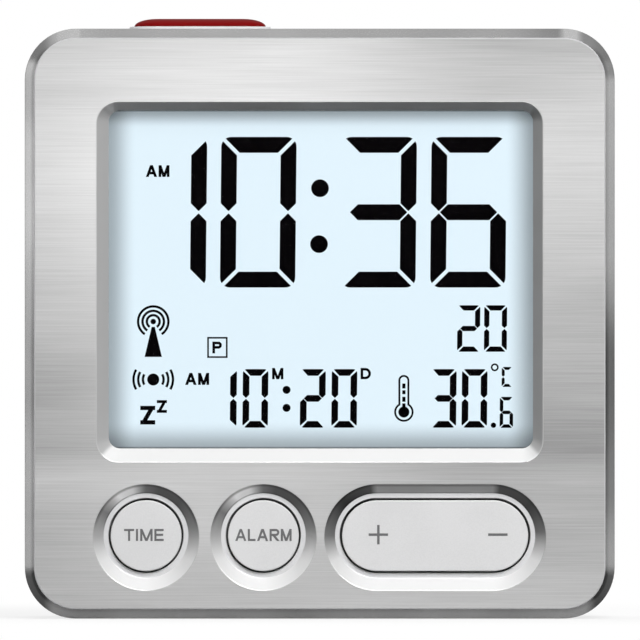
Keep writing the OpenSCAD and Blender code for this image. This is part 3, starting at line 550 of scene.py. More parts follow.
def rimPaintedReflections(wire):
    x, z = wire.axis(0) - plateMid.x, wire.axis(2) - plateMid.z
    side, height = x / plateHalf, z / plateHalf
    cloud = wire.noise(rim["cloud"], 1)
    paintedDip = 1 - wire.fade((z - rim["dipAt"]).size(), 0.0, rim["dipReach"])
    level = wire.fade(z.size() - x.size(), -rim["turn"], rim["turn"])
    fall = wire.fade(side, *rim["topSide"]) * height.most(0.0) * rim["topFall"]
    # painted shade: the corners are pulled toward a set tone, darker at the bottom
    corner = wire.fade(z.size() - cornerAt, *rim["cornerLow"])
    corner = corner * wire.fade(x.size() - cornerAt, *rim["cornerOut"])
    paintedGlint = 1 - wire.fade((x.size() - cornerAt - rim["glintHalf"] / 2).size(), 0.0, rim["glintHalf"])
    # painted reflection: lighter toward the top, darker dips on the sides, the top darker toward the right,
    # random patches
    tone = rim["mean"] + height * rim["rise"] - paintedDip * (rim["paintedDip"] + side * rim["dipSide"])
    tone = tone + (1 - level) * (side * (rim["side"] + height * rim["sideRise"]) - rim["sideFall"])
    tone = tone + level * (rim["level"] - fall) + (cloud - 0.5) * rim["patches"]
    tone = tone + corner * (rim["corner"] + height * rim["cornerRise"] - tone)
    top = wire.fade(height, *rim["top"])
    # painted glint where the top edge turns into a corner
    tone = tone + paintedGlint * top * rim["paintedGlint"]
    # darker along the chamfer's front edge, except along the top
    depth = (wire.axis(1) - panelLow.y) / plate["chamfer"]
    tone = tone - (1 - wire.fade(depth, *rim["lineIn"])) * (1 - top) * rim["line"]
    return {
        "Base Color": wire.blend(tone.clip(), grey(rim["dark"]), grey(rim["light"])),
        "Roughness": rim["rough"] + cloud * rim["roughSpread"],
    }


# window bevel: the upright sides are painted darker than the level ones, as shade
bevel = {"level": 0.97, "upright": 0.56, "mitre": 0.6 * mm, "scale": 2600, "rough": 0.33,
         "roughSpread": 0.05, "bump": (0.1, 0.01 * mm)}


def bevelWiring(wire):
    x = (wire.axis(0) - viewMid.x).size() - viewHalf.x
    z = (wire.axis(2) - viewMid.z).size() - viewHalf.z
    speck = wire.noise(bevel["scale"], 3)
    paintedSideShade = wire.fade(x - z, -bevel["mitre"], bevel["mitre"])
    return {
        "Base Color": wire.blend(paintedSideShade, grey(bevel["level"]), grey(bevel["upright"])),
        "Roughness": bevel["rough"] + speck * bevel["roughSpread"],
        "Normal": wire.bump(speck, *bevel["bump"]),
    }


# wells: light and dark sectors, by degrees from the right, painted in as reflections of turned metal, and
# edges painted darker as shade
paintedWellLight = {"round": ((-180, 0.48), (-150, 0.83), (-90, 0.93), (-30, 0.83), (10, 0.33), (45, 0.14),
                     (75, 0.15), (90, 0.3), (106, 0.9), (125, 1.0), (150, 0.27), (180, 0.48)),
           "long": ((-180, 0.2), (-150, 0.78), (-90, 0.93), (-30, 0.83), (5, 0.2), (40, 0.055), (82, 0.1),
                    (90, 0.61), (98, 0.1), (140, 0.05), (180, 0.2)),
           "gleam": ((90, 0.1), (108, 0.9), (132, 0.9), (150, 0.1)),
           "outer": (0.08, 0.34), "inner": (0.82, 0.98), "above": (0.5 * mm, 3.5 * mm), "line": 0.5,
           "cloud": 300, "rough": 0.26, "roughSpread": 0.12}


def wellFinish(name, well):
    def sectors(wire, share, stops):
        return wire.ramp(share, [(angle / 360 + 0.5, tone) for angle, tone in stops])

    def wiring(wire):
        x, z = wire.axis(0) - well["spot"].x, wire.axis(2) - well["spot"].z
        out = (x.size() - well["half"]).most(0.0) * wire.math("SIGN", x)
        share = wire.math("ARCTAN2", z, out) / (2 * math.pi) + 0.5
        cloud = wire.noise(paintedWellLight["cloud"])
        tone = sectors(wire, share, paintedWellLight[well["tones"]])
        depth = (wire.axis(1) - panelLow.y) / plate["wellDepth"]
        line = (1 - wire.fade(depth, *paintedWellLight["outer"])).most(wire.fade(depth, *paintedWellLight["inner"]))
        # painted shade: darker near the outer and inner edges, in the upper part
        tone = tone * (1 - line * wire.fade(z, *paintedWellLight["above"]) * paintedWellLight["line"])
        return {
            "Base Color": wire.blend(tone, grey(0.0), grey(1.0)),
            "Metallic": sectors(wire, share, paintedWellLight["gleam"]),
            "Roughness": paintedWellLight["rough"] + cloud * paintedWellLight["roughSpread"],
        }
    return newFinish(name, wiring)


plateFinishes = {"face": brushedMetal, "rim": newFinish("rimMetalPaintedReflections", rimPaintedReflections, Metallic=0.8),
                 "bevel": newFinish("bevelMetalPaintedShade", bevelWiring, Metallic=0.1), "ring": ringMetal,
                 **{name: wellFinish(name, well) for name, well in wells.items()},
                 "gap": gapPaintedShade, "edge": edgeMetal}
paint(facePlate, *plateFinishes.values())
plateSlots = list(plateFinishes)
rimIn = plateHalf - plate["chamfer"] - plate["rimSlack"]
wellTop = wells["timeWell"]["spot"].z + holeRadius + plate["ring"] + plate["wellBevel"]
for face in facePlate.data.polygons:
    spot, ahead = face.center, -face.normal.y  # ahead is 1 on a face that looks straight out
    x, z = abs(spot.x - plateMid.x), abs(spot.z - plateMid.z)
    out = max(x, z)
    if min(x, z) > cornerAt:
        out = cornerAt + math.hypot(x - cornerAt, z - cornerAt)
    if out > rimIn - 2 * plate["edge"] and plate["rounded"][0] < ahead < plate["rounded"][1]:
        finish = "edge"
    elif ahead > plate["flat"]:
        finish = "face" if spot.y < panelLow.y + plate["faceSlack"] else "ring"
    elif out > rimIn:
        finish = "rim"
    elif spot.z >= wellTop:
        finish = "bevel"
    # hole walls behind the well floors: near-black painted shade
    elif spot.y > wellBack + plate["edge"]:
        finish = "gap"
    else:  # the well that it lies nearest to
        finish = min(wells, key=lambda name: abs(spot.x - wells[name]["spot"].x) - wells[name]["half"])
    face.material_index = plateSlots.index(finish)
register(facePlate, "case", "brushed_face", "front_panel")
print("face plate modelled:", len(facePlate.data.polygons), "faces")


# snooze bar: flange, straight sides and a crowned top
snooze = {"flange": 1.1 * mm, "flangeHeight": 1.2 * mm, "corner": 4 * mm, "cornerSteps": 16,
          "crown": 3.4 * mm, "crownRise": 1.2 * mm, "crownSteps": 8, "stem": 2.4 * mm,
          "stemLength": 1.2 * mm}
snoozeLow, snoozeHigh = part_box("snooze_button")
snoozeMid = (snoozeLow + snoozeHigh) / 2
flangeZ = snoozeLow.z + snooze["stemLength"]
snoozeBar = roundedPlate("snoozeBar", snoozeHigh.x - snoozeLow.x, snoozeHigh.y - snoozeLow.y,
                         snooze["corner"] + snooze["flange"], (snoozeMid.x, snoozeMid.y, flangeZ), unturned,
                         snooze["cornerSteps"])
startEdit(snoozeBar, "FACE")
pull(0, 0, snooze["flangeHeight"])
inset(snooze["flange"])
pull(0, 0, snoozeHigh.z - snooze["crownRise"] - flangeZ - snooze["flangeHeight"])
for step in range(snooze["crownSteps"]):
    a, b = (math.pi / 2 * (step + k) / snooze["crownSteps"] for k in (0, 1))
    inset(snooze["crown"] * (math.cos(a) - math.cos(b)), snooze["crownRise"] * (math.sin(b) - math.sin(a)))
endEdit()
faceOutwards(snoozeBar)
snoozeStem = post("snoozeStem", snooze["stem"], (snoozeMid.x, snoozeMid.y, snoozeLow.z),
                  (snoozeMid.x, snoozeMid.y, flangeZ), unturned)
snoozeBar = joinAs("snoozeBar", [snoozeBar, snoozeStem])
roundEdges(snoozeBar, 0)
paint(snoozeBar, snoozeRed)
register(snoozeBar, "snooze_bar", "red_plastic", "snooze_button")
print("snooze bar modelled")


# housings and door keep their CAD forms, with soft moulded edges
for node, name, body, edge in (("front_housing", "frontShell", "case", 0.15 * mm),
                               ("rear_housing", "rearShell", "case", 0.12 * mm),
                               ("battery_door", "doorPanel", "door", 0.15 * mm)):
    shell = refinedCopy(node, name, edge)
    paint(shell, silverPlastic)
    register(shell, body, "silver_plastic", node)
    print(name, "refined:", len(shell.data.polygons), "faces")


# display marks: bars, dots, rings and letters, flat on the film
marks = {"lift": 0.03 * mm, "slant": 0.01, "atEnd": 0.49, "round": 0.62, "roundSteps": 6, "point": 0.48,
         "stroke": 0.004 * mm, "bowlTall": 0.49, "bowlWide": 0.6, "cornerSteps": 8}
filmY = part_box("lcd_polarizer")[0].y
markY = filmY - marks["lift"]
lit = {"0": "abcdef", "1": "bc", "2": "abged", "3": "abgcd", "6": "afgcde", "C": "afed"}


def barShape(length, thick, gap, cornerEnds):  # ends -1 and 1 are mitred at a corner, others pointed
    bar = flatPlate("bar", length, thick)
    for end in (-1, 1):
        if end in cornerEnds:
            pick(bar, "VERT", lambda spot: spot.x * end > marks["atEnd"] * length and spot.y > 0)
            bpy.ops.mesh.bevel(affect="VERTICES", offset=marks["round"] * thick,
                               segments=marks["roundSteps"])
            bpy.ops.mesh.select_all(action="SELECT")
            bpy.ops.mesh.bisect(plane_co=(end * (length - gap) / 2, (thick + gap) / 2, 0),
                                plane_no=(end, -1, 0), clear_outer=True)
        else:
            pick(bar, "VERT", lambda spot: spot.x * end > marks["atEnd"] * length)
            bpy.ops.mesh.bevel(affect="VERTICES", offset=marks["point"] * thick, segments=1)
        endEdit()
    return bar


def stamp(shape, x, z, turn):
    copy = shape.copy()
    copy.data = shape.data.copy()
    bpy.context.collection.objects.link(copy)
    copy.location = (x, markY, z)
    copy.rotation_euler = (math.pi / 2, turn, 0)
    return copy


def digits(row):  # each digit is (sign, left edge), on the row's foot line
    width, height, thick, gap = (row[k] * mm for k in ("width", "height", "thick", "gap"))
    side = (height - gap) / 2
    shapes = {"level": barShape(width, thick, gap, (-1, 1)),
              "rise": barShape(side, thick, gap, (1,)),
              "fall": barShape(side, thick, gap, (-1,)),
              "middle": barShape(width - thick - gap, thick, gap, ())}
    places = {"a": ("level", width / 2, height - thick / 2, 0),
              "b": ("fall", width - thick / 2, height - side / 2, math.pi / 2),
              "c": ("rise", width - thick / 2, side / 2, math.pi / 2),
              "d": ("level", width / 2, thick / 2, math.pi),
              "e": ("fall", thick / 2, side / 2, -math.pi / 2),
              "f": ("rise", thick / 2, height - side / 2, -math.pi / 2),
              "g": ("middle", width / 2, height / 2, 0)}
    made = []
    for sign, left in row["signs"]:
        for letter in lit[sign]:
            kind, x, z, turn = places[letter]
            made.append(stamp(shapes[kind], left * mm + x, row["foot"] * mm + z, turn))
    for shape in shapes.values():
        bpy.data.objects.remove(shape)
    piece = joinAs("digits", made)
    for vert in piece.data.vertices:
        vert.co.x += marks["slant"] * (vert.co.z - row["foot"] * mm - height / 2)
    return piece


rows = [  # in mm, as all places on the display and on the caps are
    {"width": 11.5, "height": 23.0, "thick": 2.42, "gap": 0.4, "foot": 50.51,
     "signs": (("1", -28.79), ("0", -15.14), ("3", 3.24), ("6", 16.97))},
    {"width": 3.5, "height": 7.1, "thick": 0.8, "gap": 0.14, "foot": 40.7,
     "signs": (("2", 21.0), ("0", 25.1))},
    {"width": 3.9, "height": 8.95, "thick": 1.02, "gap": 0.15, "foot": 29.1,
     "signs": (("1", -16.58), ("0", -11.78), ("2", -3.01), ("0", 1.8), ("3", 16.97), ("0", 21.69))},
    {"width": 2.05, "height": 4.73, "thick": 0.54, "gap": 0.08, "foot": 29.08, "signs": (("6", 27.49),)},
    {"width": 1.62, "height": 3.05, "thick": 0.46, "gap": 0.08, "foot": 35.33, "signs": (("C", 27.79),)},
]
inked = [digits(row) for row in rows]
print("digits laid out")


def onFilm(x, z, layer):  # layers lie one above the other, so that no two are in one plane
    return (x * mm, filmY - layer * marks["lift"], z * mm)


def dot(x, z, radius, layer=1):
    return pillPlate("dot", radius * mm, 0, onFilm(x, z, layer))


def patch(x, z, width, height, radius, layer=1):
    return roundedPlate("patch", width * mm, height * mm, radius * mm, onFilm(x, z, layer),
                        steps=marks["cornerSteps"])


def ring(x, z, radius, line, keep=None):  # radius to the outside; keep tests an angle, 0 at the right
    piece = dot(x, z, radius)
    hollowOut(piece, line * mm)
    if keep:
        pick(piece, "FACE", lambda spot, normal: not keep(
            math.degrees(math.atan2(spot.z - z * mm, spot.x - x * mm))))
        bpy.ops.mesh.delete(type="FACE")
        endEdit()
    return piece


letters = {  # width to a height of 1, sloped or upright lines, level bars, and a bowl's foot and top
    "A": {"wide": 1.0, "lines": ((0, 0, 0.5, 1), (1, 0, 0.5, 1)), "bars": ((0.28, 0.2, 0.8),)},
    "D": {"wide": 0.84, "lines": ((0, 0, 0, 1),), "bowl": (0, 1)},
    "E": {"wide": 0.74, "lines": ((0, 0, 0, 1),), "bars": ((0, 0, 1), (0.52, 0, 0.94), (1, 0, 1))},
    "I": {"wide": 0.2, "lines": ((0, 0, 0, 1),)},
    "L": {"wide": 0.7, "lines": ((0, 0, 0, 1),), "bars": ((0, 0, 1),)},
    "M": {"wide": 0.98, "lines": ((0, 0, 0, 1), (0, 1, 0.5, 0), (1, 1, 0.5, 0), (1, 0, 1, 1))},
    "P": {"wide": 0.78, "lines": ((0, 0, 0, 1),), "bowl": (0.4, 1)},
    "R": {"wide": 0.88, "lines": ((0, 0, 0, 1), (0.42, 0.45, 1, 0)), "bowl": (0.42, 1)},
    "T": {"wide": 0.8, "lines": ((0.5, 0, 0.5, 1),), "bars": ((1, 0, 1),)},
    "Z": {"wide": 0.8, "lines": ((0, 0, 1, 1),), "bars": ((0, 0, 1), (1, 0, 1))},
}


def quad(x, z, width, height, y, lean=0.0):  # lean is how far its top stands to the right of its foot
    piece = flatPlate("stroke", width * mm, height * mm, (x * mm, y, z * mm), upright)
    if lean:
        for end in (1, -1):
            pick(piece, "VERT", lambda spot: (spot.z - z * mm) * end > 0)
            bpy.ops.transform.translate(value=(end * lean / 2 * mm, 0, 0))
            endEdit()
    return piece


def bowlPiece(left, wide, low, high, stroke, y):
    radius = min(marks["bowlTall"] * (high - low), marks["bowlWide"] * wide)
    piece = roundedPlate("bowl", 2 * wide * mm, (high - low) * mm, radius * mm,
                         (left * mm, y, (low + high) / 2 * mm), steps=marks["cornerSteps"])
    hollowOut(piece, stroke * mm)
    startEdit(piece, "FACE")
    bpy.ops.mesh.bisect(plane_co=((left + stroke / 2) * mm, 0, 0), plane_no=(1, 0, 0), clear_inner=True)
    endEdit()
    return piece


def lettering(words, x0, x1, z0, z1, y, weight=0.23, space=0.14):
    high = z1 - z0
    stroke = weight * high
    grow = (x1 - x0) / (sum(letters[sign]["wide"] for sign in words) + space * (len(words) - 1))
    made = []
    left = x0
    layers = (y - k * marks["stroke"] for k in count())  # no two strokes in one plane
    for sign in words:
        form = letters[sign]
        wide = max(form["wide"] * grow, stroke)
        span = wide - stroke
        for ax, az, bx, bz in form["lines"]:
            run, rise = (bx - ax) * span, (bz - az) * high
            made.append(quad(left + stroke / 2 + (ax + bx) / 2 * span, z0 + (az + bz) / 2 * high,
                             stroke * math.hypot(run, rise) / abs(rise), abs(rise), next(layers),
                             run if rise > 0 else -run))
        for level, start, end in form.get("bars", ()):
            made.append(quad(left + (start + end) / 2 * wide, z0 + stroke / 2 + level * (high - stroke),
                             (end - start) * wide, stroke, next(layers)))
        if "bowl" in form:
            low, top = (z0 + share * high for share in form["bowl"])
            made.append(bowlPiece(left, wide, low, top, stroke, next(layers)))
        left += wide + space * grow
    return joinAs("lettering", made)


points = ((0.04, 65.68, 1.35), (-0.11, 57.14, 1.35), (-5.07, 34.88, 0.61), (-5.07, 32.13, 0.61),
          (26.53, 29.48, 0.41))  # x, z, radius
degree = (26.73, 38.32, 0.6, 0.26)
wordsAt = (("AM", -26.55, -22.95, 67.4, 69.2), ("AM", -20.55, -16.89, 35.64, 37.47),
           ("M", -7.28, -5.55, 36.5, 38.23), ("D", 6.24, 7.82, 36.5, 38.23),
           ("P", -16.4, -14.95, 40.45, 42.25), ("Z", -27.41, -25.13, 29.59, 32.44),
           ("Z", -24.88, -23.34, 31.37, 33.31))  # left, right, foot, top
inked += [dot(*point) for point in points]
inked += [ring(*degree)]
inked += [lettering(*words, markY) for words in wordsAt]

# boxed letter: a thin frame
box = {"x": -15.63, "z": 41.36, "width": 3.12, "height": 3.2, "corner": 0.05, "line": 0.26}
boxFrame = patch(box["x"], box["z"], box["width"], box["height"], box["corner"])
hollowOut(boxFrame, box["line"] * mm)
inked += [boxFrame]

# mast with waves, which are open below, where its tower stands
mast = {"x": -25.43, "z": 45.31, "dot": 0.42, "rings": (2.5, 1.82, 1.16), "line": 0.37, "open": (-122, -58),
        "apex": 44.5, "foot": 39.91, "half": 1.32, "tip": 0.18, "corner": 0.01}
inked += [ring(mast["x"], mast["z"], radius, mast["line"],
               lambda angle: not mast["open"][0] < angle < mast["open"][1]) for radius in mast["rings"]]
towerMid = (mast["apex"] + mast["foot"]) / 2
tower = patch(mast["x"], towerMid, 2 * mast["half"], mast["apex"] - mast["foot"], mast["corner"])
pick(tower, "VERT", lambda spot: spot.z > towerMid * mm)
bpy.ops.transform.resize(value=(mast["tip"], 1, 1))
endEdit()
inked += [dot(mast["x"], mast["z"], mast["dot"]), tower]

# sounding dot with three waves on each side
bell = {"x": -25.43, "z": 36.46, "dot": 0.92, "waves": (1.76, 2.48, 3.2), "line": 0.37, "half": 31}
inked += [dot(bell["x"], bell["z"], bell["dot"])]
inked += [ring(bell["x"], bell["z"], radius, bell["line"],
               lambda angle: abs(angle) < bell["half"] or abs(angle) > 180 - bell["half"])
          for radius in bell["waves"]]

# thermometer: dark outline, pale inside, dark column
thermo = {"x": 12.85, "top": 37.16, "half": 0.84, "round": 0.99, "bulbZ": 31.49, "bulb": 1.48, "line": 0.3,
          "core": 0.84, "column": 0.5, "columnCorner": 0.04,
          "marks": ((35.09, 35.85), (34.21, 34.82), (33.06, 33.83), (31.49, 32.82))}
tubeMid = (thermo["top"] + thermo["bulbZ"]) / 2
tubeLong = thermo["top"] - thermo["bulbZ"]
boreHalf = thermo["half"] - thermo["line"]
inked += [dot(thermo["x"], thermo["bulbZ"], thermo["bulb"]),
          patch(thermo["x"], tubeMid, 2 * thermo["half"], tubeLong, thermo["half"] * thermo["round"])]
thermoInside = joinAs("thermoInside", [
    dot(thermo["x"], thermo["bulbZ"], thermo["bulb"] - thermo["line"], 2),
    patch(thermo["x"], tubeMid - thermo["line"] / 2, 2 * boreHalf, tubeLong - thermo["line"],
          boreHalf * thermo["round"], 2)])
inked += [dot(thermo["x"], thermo["bulbZ"], thermo["core"], 3)]
inked += [patch(thermo["x"], (low + high) / 2, thermo["column"], high - low, thermo["columnCorner"], 3)
          for low, high in thermo["marks"]]
displayMarks = joinAs("displayMarks", inked)
print("display marks:", len(displayMarks.data.polygons), "faces")

# legends on the caps
legends = {"lift": 0.02 * mm, "weight": 0.175, "z": (11.85, 13.68), "timeX": (-29.85, -23.8),
           "alarmX": (-12.88, -4.29), "plusX": 8.94, "minusX": 27.17, "signZ": 12.81, "length": 2.96,
           "stroke": 0.38}
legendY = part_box("time_button")[0].y - legends["lift"]
signZ, length, stroke = (legends[k] for k in ("signZ", "length", "stroke"))
rockerLegend = joinAs("rockerLegend", [
    quad(legends["plusX"], signZ, length, stroke, legendY),
    quad(legends["plusX"], signZ, stroke, length, legendY - marks["stroke"]),
    quad(legends["minusX"], signZ, length, stroke, legendY)])
timeLegend, alarmLegend = (
    settle(lettering(words, *legends[place], *legends["z"], legendY, legends["weight"]), name)
    for words, place, name in (("TIME", "timeX", "timeLegend"), ("ALARM", "alarmX", "alarmLegend")))
for legend, body in ((timeLegend, "time_key"), (alarmLegend, "alarm_key"), (rockerLegend, "rocker")):
    paint(legend, legendGrey)
    register(legend, body, "key_plastic")

# lit film under a clear lens, glowing for camera rays only, with painted shadow along the window's edges
film = {"glow": (0.75, 0.89, 0.975), "edge": 0.45, "fadeWidth": 4.2 * mm, "topSharper": 1.6, "line": 0.35,
        "lineWidth": 0.3 * mm, "share": 0.2, "scale": 4000, "even": 0.985, "speck": 0.03}
lens = {"edgeOn": 0.2, "clear": 0.01, "slant": 0.2, "scale": 160, "rough": 0.02, "roughSpread": 0.05}


def filmWiring(wire):
    inX = viewHalf.x - (wire.axis(0) - viewMid.x).size()
    inZ = (wire.axis(2) - viewLow.z).least((viewHigh.z - wire.axis(2)) * film["topSharper"])
    # a thin painted dark line at the top and bottom edges, then painted shadow fading in from all four
    # edges
    shade = film["line"] + (1 - film["line"]) * wire.fade(inZ, 0.0, film["lineWidth"])
    for reach in (inX, inZ):
        shade = shade * (film["edge"] + (1 - film["edge"]) * wire.fade(reach, 0.0, film["fadeWidth"]))
    speck = wire.noise(film["scale"])
    colour = wire.blend(shade * (film["even"] + speck * film["speck"]), grey(0.0), (*film["glow"], 1))
    return {
        "Base Color": wire.blend(film["share"], grey(0.0), colour),
        "Emission Color": wire.blend(wire.ray("Camera"), grey(0.0), colour),
    }


def lensWiring(wire):
    slant = wire.node("LayerWeight", inputs={"Blend": lens["edgeOn"]}, output="Facing")
    smear = wire.noise(lens["scale"], 3)
    return {
        "Alpha": lens["clear"] + slant * lens["slant"],
        "Roughness": lens["rough"] + smear * lens["roughSpread"],
    }


displayInk = satin("displayInk", (0.002, 0.0015, 0.002), 0.5, 0.2, Specular_IOR_Level=0.0)
displayFilm = newFinish("displayFilm", filmWiring, Roughness=0.35, Emission_Strength=0.83)
clearLens = newFinish("clearLens", lensWiring, Base_Color=grey(0.01))
paint(displayMarks, displayInk)
paint(thermoInside, displayFilm)
register(displayMarks, "case", "display_film")
register(thermoInside, "case", "display_film")
dress(displayFilm, "lcd_polarizer")
dress(clearLens, "window_lens")
print("display dressed")


# cells: wrapped cans with a shouldered cap
cell = {"nubRadius": 2.75 * mm, "nub": 1.3 * mm, "wrapEdge": 1.2 * mm, "groove": 0.4 * mm,
        "grooveDeep": 0.3 * mm, "dish": 0.5 * mm, "dishDeep": 0.25 * mm, "edge": 0.25 * mm,
        "edgeSteps": 3, "edgeAngle": 40}
wrapColour = satin("wrapColour", (0.05, 0.06, 0.075), 0.3, 0.1, Coat_Weight=0.3)
bareSteel = satin("bareSteel", (0.6, 0.6, 0.58), 0.28, 0.05, Metallic=1.0)


def cellPiece(name, node, nubSide):  # nubSide is -1 or 1, the end along X that has the nub
    low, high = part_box(node)
    centre = (low + high) / 2
    radius = (high.z - low.z) / 2
    can = post(name, radius, (low.x + (cell["nub"] if nubSide < 0 else 0), centre.y, centre.z),
               (high.x - (cell["nub"] if nubSide > 0 else 0), centre.y, centre.z), sideways)
    pickFacing(can, (nubSide, 0, 0))
    inset(cell["wrapEdge"])
    inset(cell["groove"], -cell["grooveDeep"])
    inset(radius - cell["wrapEdge"] - cell["groove"] - cell["nubRadius"], cell["grooveDeep"])
    pull(nubSide * cell["nub"], 0, 0)
    endEdit()
    pickFacing(can, (-nubSide, 0, 0))
    inset(cell["wrapEdge"])
    inset(cell["dish"], -cell["dishDeep"])
    endEdit()
    roundEdges(can, cell["edge"], cell["edgeSteps"], cell["edgeAngle"])
    paint(can, wrapColour, bareSteel)
    for face in can.data.polygons:
        away = math.dist((face.center.y, face.center.z), (centre.y, centre.z))
        face.material_index = 1 if away < radius - cell["wrapEdge"] else 0
    register(can, "case", "cell_wrap", node)


cellPiece("upperCell", "upper_cell", -1)
cellPiece("lowerCell", "lower_cell", 1)

# contact springs: a cone of wire from the plate to the flat end of each cell
coil = {"turns": 4, "base": 4.6 * mm, "tip": 2.6 * mm, "wire": 0.4 * mm, "points": 24, "roundness": 3,
        "smooth": 50}


def coilPiece(name, plateX, endX, y, z):
    curve = bpy.data.curves.new(name, "CURVE")
    curve.dimensions = "3D"
    curve.bevel_depth = coil["wire"]
    curve.bevel_resolution = coil["roundness"]
    curve.use_fill_caps = True
    steps = coil["turns"] * coil["points"]
    line = curve.splines.new("POLY")
    line.points.add(steps)
    for i, point in enumerate(line.points):
        share = i / steps
        radius = coil["base"] + (coil["tip"] - coil["base"]) * share
        angle = 2 * math.pi * coil["turns"] * share
        point.co = (plateX + (endX - plateX) * share,
                    y + radius * math.cos(angle), z + radius * math.sin(angle), 1)
    piece = bpy.data.objects.new(name, curve)
    bpy.context.collection.objects.link(piece)
    activate(piece)
    bpy.ops.object.convert(target="MESH")
    return bpy.context.object


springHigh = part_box("battery_springs")[1]
lowerMid, upperMid = middleOf("lower_cell"), middleOf("upper_cell")
springX = springHigh.x - coil["wire"]
springRun = springHigh.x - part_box("upper_cell")[1].x - 2 * coil["wire"]
springs = joinAs("contactSprings", [
    coilPiece("lowerSpring", -springX, -springX + springRun, lowerMid.y, lowerMid.z),
    coilPiece("upperSpring", springX, springX - springRun, upperMid.y, upperMid.z)])
bpy.ops.object.shade_smooth_by_angle(angle=math.radians(coil["smooth"]))
paint(springs, bareSteel)
register(springs, "case", "plated_steel", "battery_springs")
print("cells and springs modelled")


# finishes of the inner pieces
siliconeGrey = satin("siliconeGrey", (0.2, 0.21, 0.22), 0.6)
dress(siliconeGrey, "zebra_strip")
dress(bareSteel, "quartz_crystal", "battery_plates", "board_screws", "case_screws")
dress(satin("whitePlastic", (0.8, 0.8, 0.78), 0.45),
      "lcd_frame", "reflector_sheet", "backlight_leds", "antenna_bobbin", "buzzer_ceramic")
dress(satin("displayGlass", (0.7, 0.8, 0.84), 0.08, 0.02, Alpha=0.5), "lcd_front_glass", "lcd_rear_glass")
dress(satin("guideFrost", (0.8, 0.86, 0.88), 0.25, 0.03), "light_guide")
dress(satin("boardGreen", (0.02, 0.12, 0.05), 0.4, 0.12), "main_board", "snooze_board")
dress(satin("blackResin", (0.012, 0.012, 0.014), 0.25, 0.15),
      "controller_blob", "receiver_chip", "temperature_sensor")
dress(satin("ferriteGrey", (0.035, 0.035, 0.037), 0.6, 0.15), "ferrite_rod")
dress(satin("copperWire", (0.42, 0.13, 0.05), 0.3, 0.1, Metallic=0.9), "antenna_coil", "antenna_leads")
dress(satin("brassSheet", (0.55, 0.36, 0.1), 0.25, 0.05, Metallic=1.0), "buzzer_disc")
dress(satin("redLead", (0.35, 0.02, 0.02), 0.45), "battery_leads")
dress(satin("blackLead", (0.015, 0.015, 0.017), 0.45), "buzzer_leads", "snooze_leads")
print("inner pieces dressed")


# silicone mat: its sheet stays put, and so does the hollow dome under each key
rubber = {"sheet": 1 * mm, "corner": 1 * mm, "foot": 4.2 * mm, "tip": 2.6 * mm, "wall": 0.6 * mm,
          "roof": 0.84 * mm, "edge": 0.1 * mm, "domeAngle": 25}
matLow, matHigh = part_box("keypad_mat")
matMid = (matLow + matHigh) / 2
sheetY = matHigh.y - rubber["sheet"]
hollowFoot, hollowTip = rubber["foot"] - rubber["wall"], rubber["tip"] - rubber["wall"] / 2


def domePiece(name, travel, foot, tip, turn, node):  # a hollow cone from its foot to its tip
    tall = (tip - foot).length
    up = (tip - foot) / tall
    dome = post(name, rubber["foot"], foot, tip, turn)
    pickFacing(dome, up)
    bpy.ops.transform.resize(value=[rubber["tip"] / rubber["foot"]] * 3)
    endEdit()
    pickFacing(dome, -up)
    inset(rubber["wall"])
    pull(*up * (tall - rubber["roof"]))
    bpy.ops.transform.resize(value=[hollowTip / hollowFoot] * 3)
    endEdit()
    roundEdges(dome, rubber["edge"], angle=rubber["domeAngle"])
    paint(dome, siliconeGrey)
    1 - travel / tall
    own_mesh(dome)
    register(dome, "case", "silicone", node)


matSheet = roundedPlate("matSheet", matHigh.x - matLow.x, matHigh.z - matLow.z, rubber["corner"],
                        (matMid.x, matHigh.y, matMid.z))
startEdit(matSheet, "FACE")
pull(0, -rubber["sheet"], 0)
endEdit()
faceOutwards(matSheet)
timeX, alarmX, rockerX = (well["spot"].x for well in wells.values())
keyTravel = joints["time_press"]["range_m"][1]
armOut = rockerHalf + keys["armOut"]
armTravel = (armOut + keys["arm"]) * tiltRise
for name, joint, travel, x in (("timeDome", "time_press", keyTravel, timeX),
                               ("alarmDome", "alarm_press", keyTravel, alarmX),
                               ("plusDome", "rocker_tilt", armTravel, rockerX - armOut),
                               ("minusDome", "rocker_tilt", armTravel, rockerX + armOut)):
    foot, tip, behind = (Vector((x, y, matMid.z)) for y in (sheetY, matLow.y, matHigh.y + rubber["sheet"]))
    cutAway(matSheet, post("hole", hollowFoot, tip, behind))
    domePiece(name, travel, foot, tip, upright, "keypad_mat")
roundEdges(matSheet, rubber["edge"])
paint(matSheet, siliconeGrey)
register(matSheet, "case", "silicone", "keypad_mat")
snoozeTravel = joints["snooze_press"]["range_m"][1]
foot, tip = (Vector((snoozeMid.x, snoozeMid.y, corner.z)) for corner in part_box("snooze_dome"))
domePiece("snoozeDome", snoozeTravel, foot, tip, unturned, "snooze_dome")
print("mat and domes modelled")


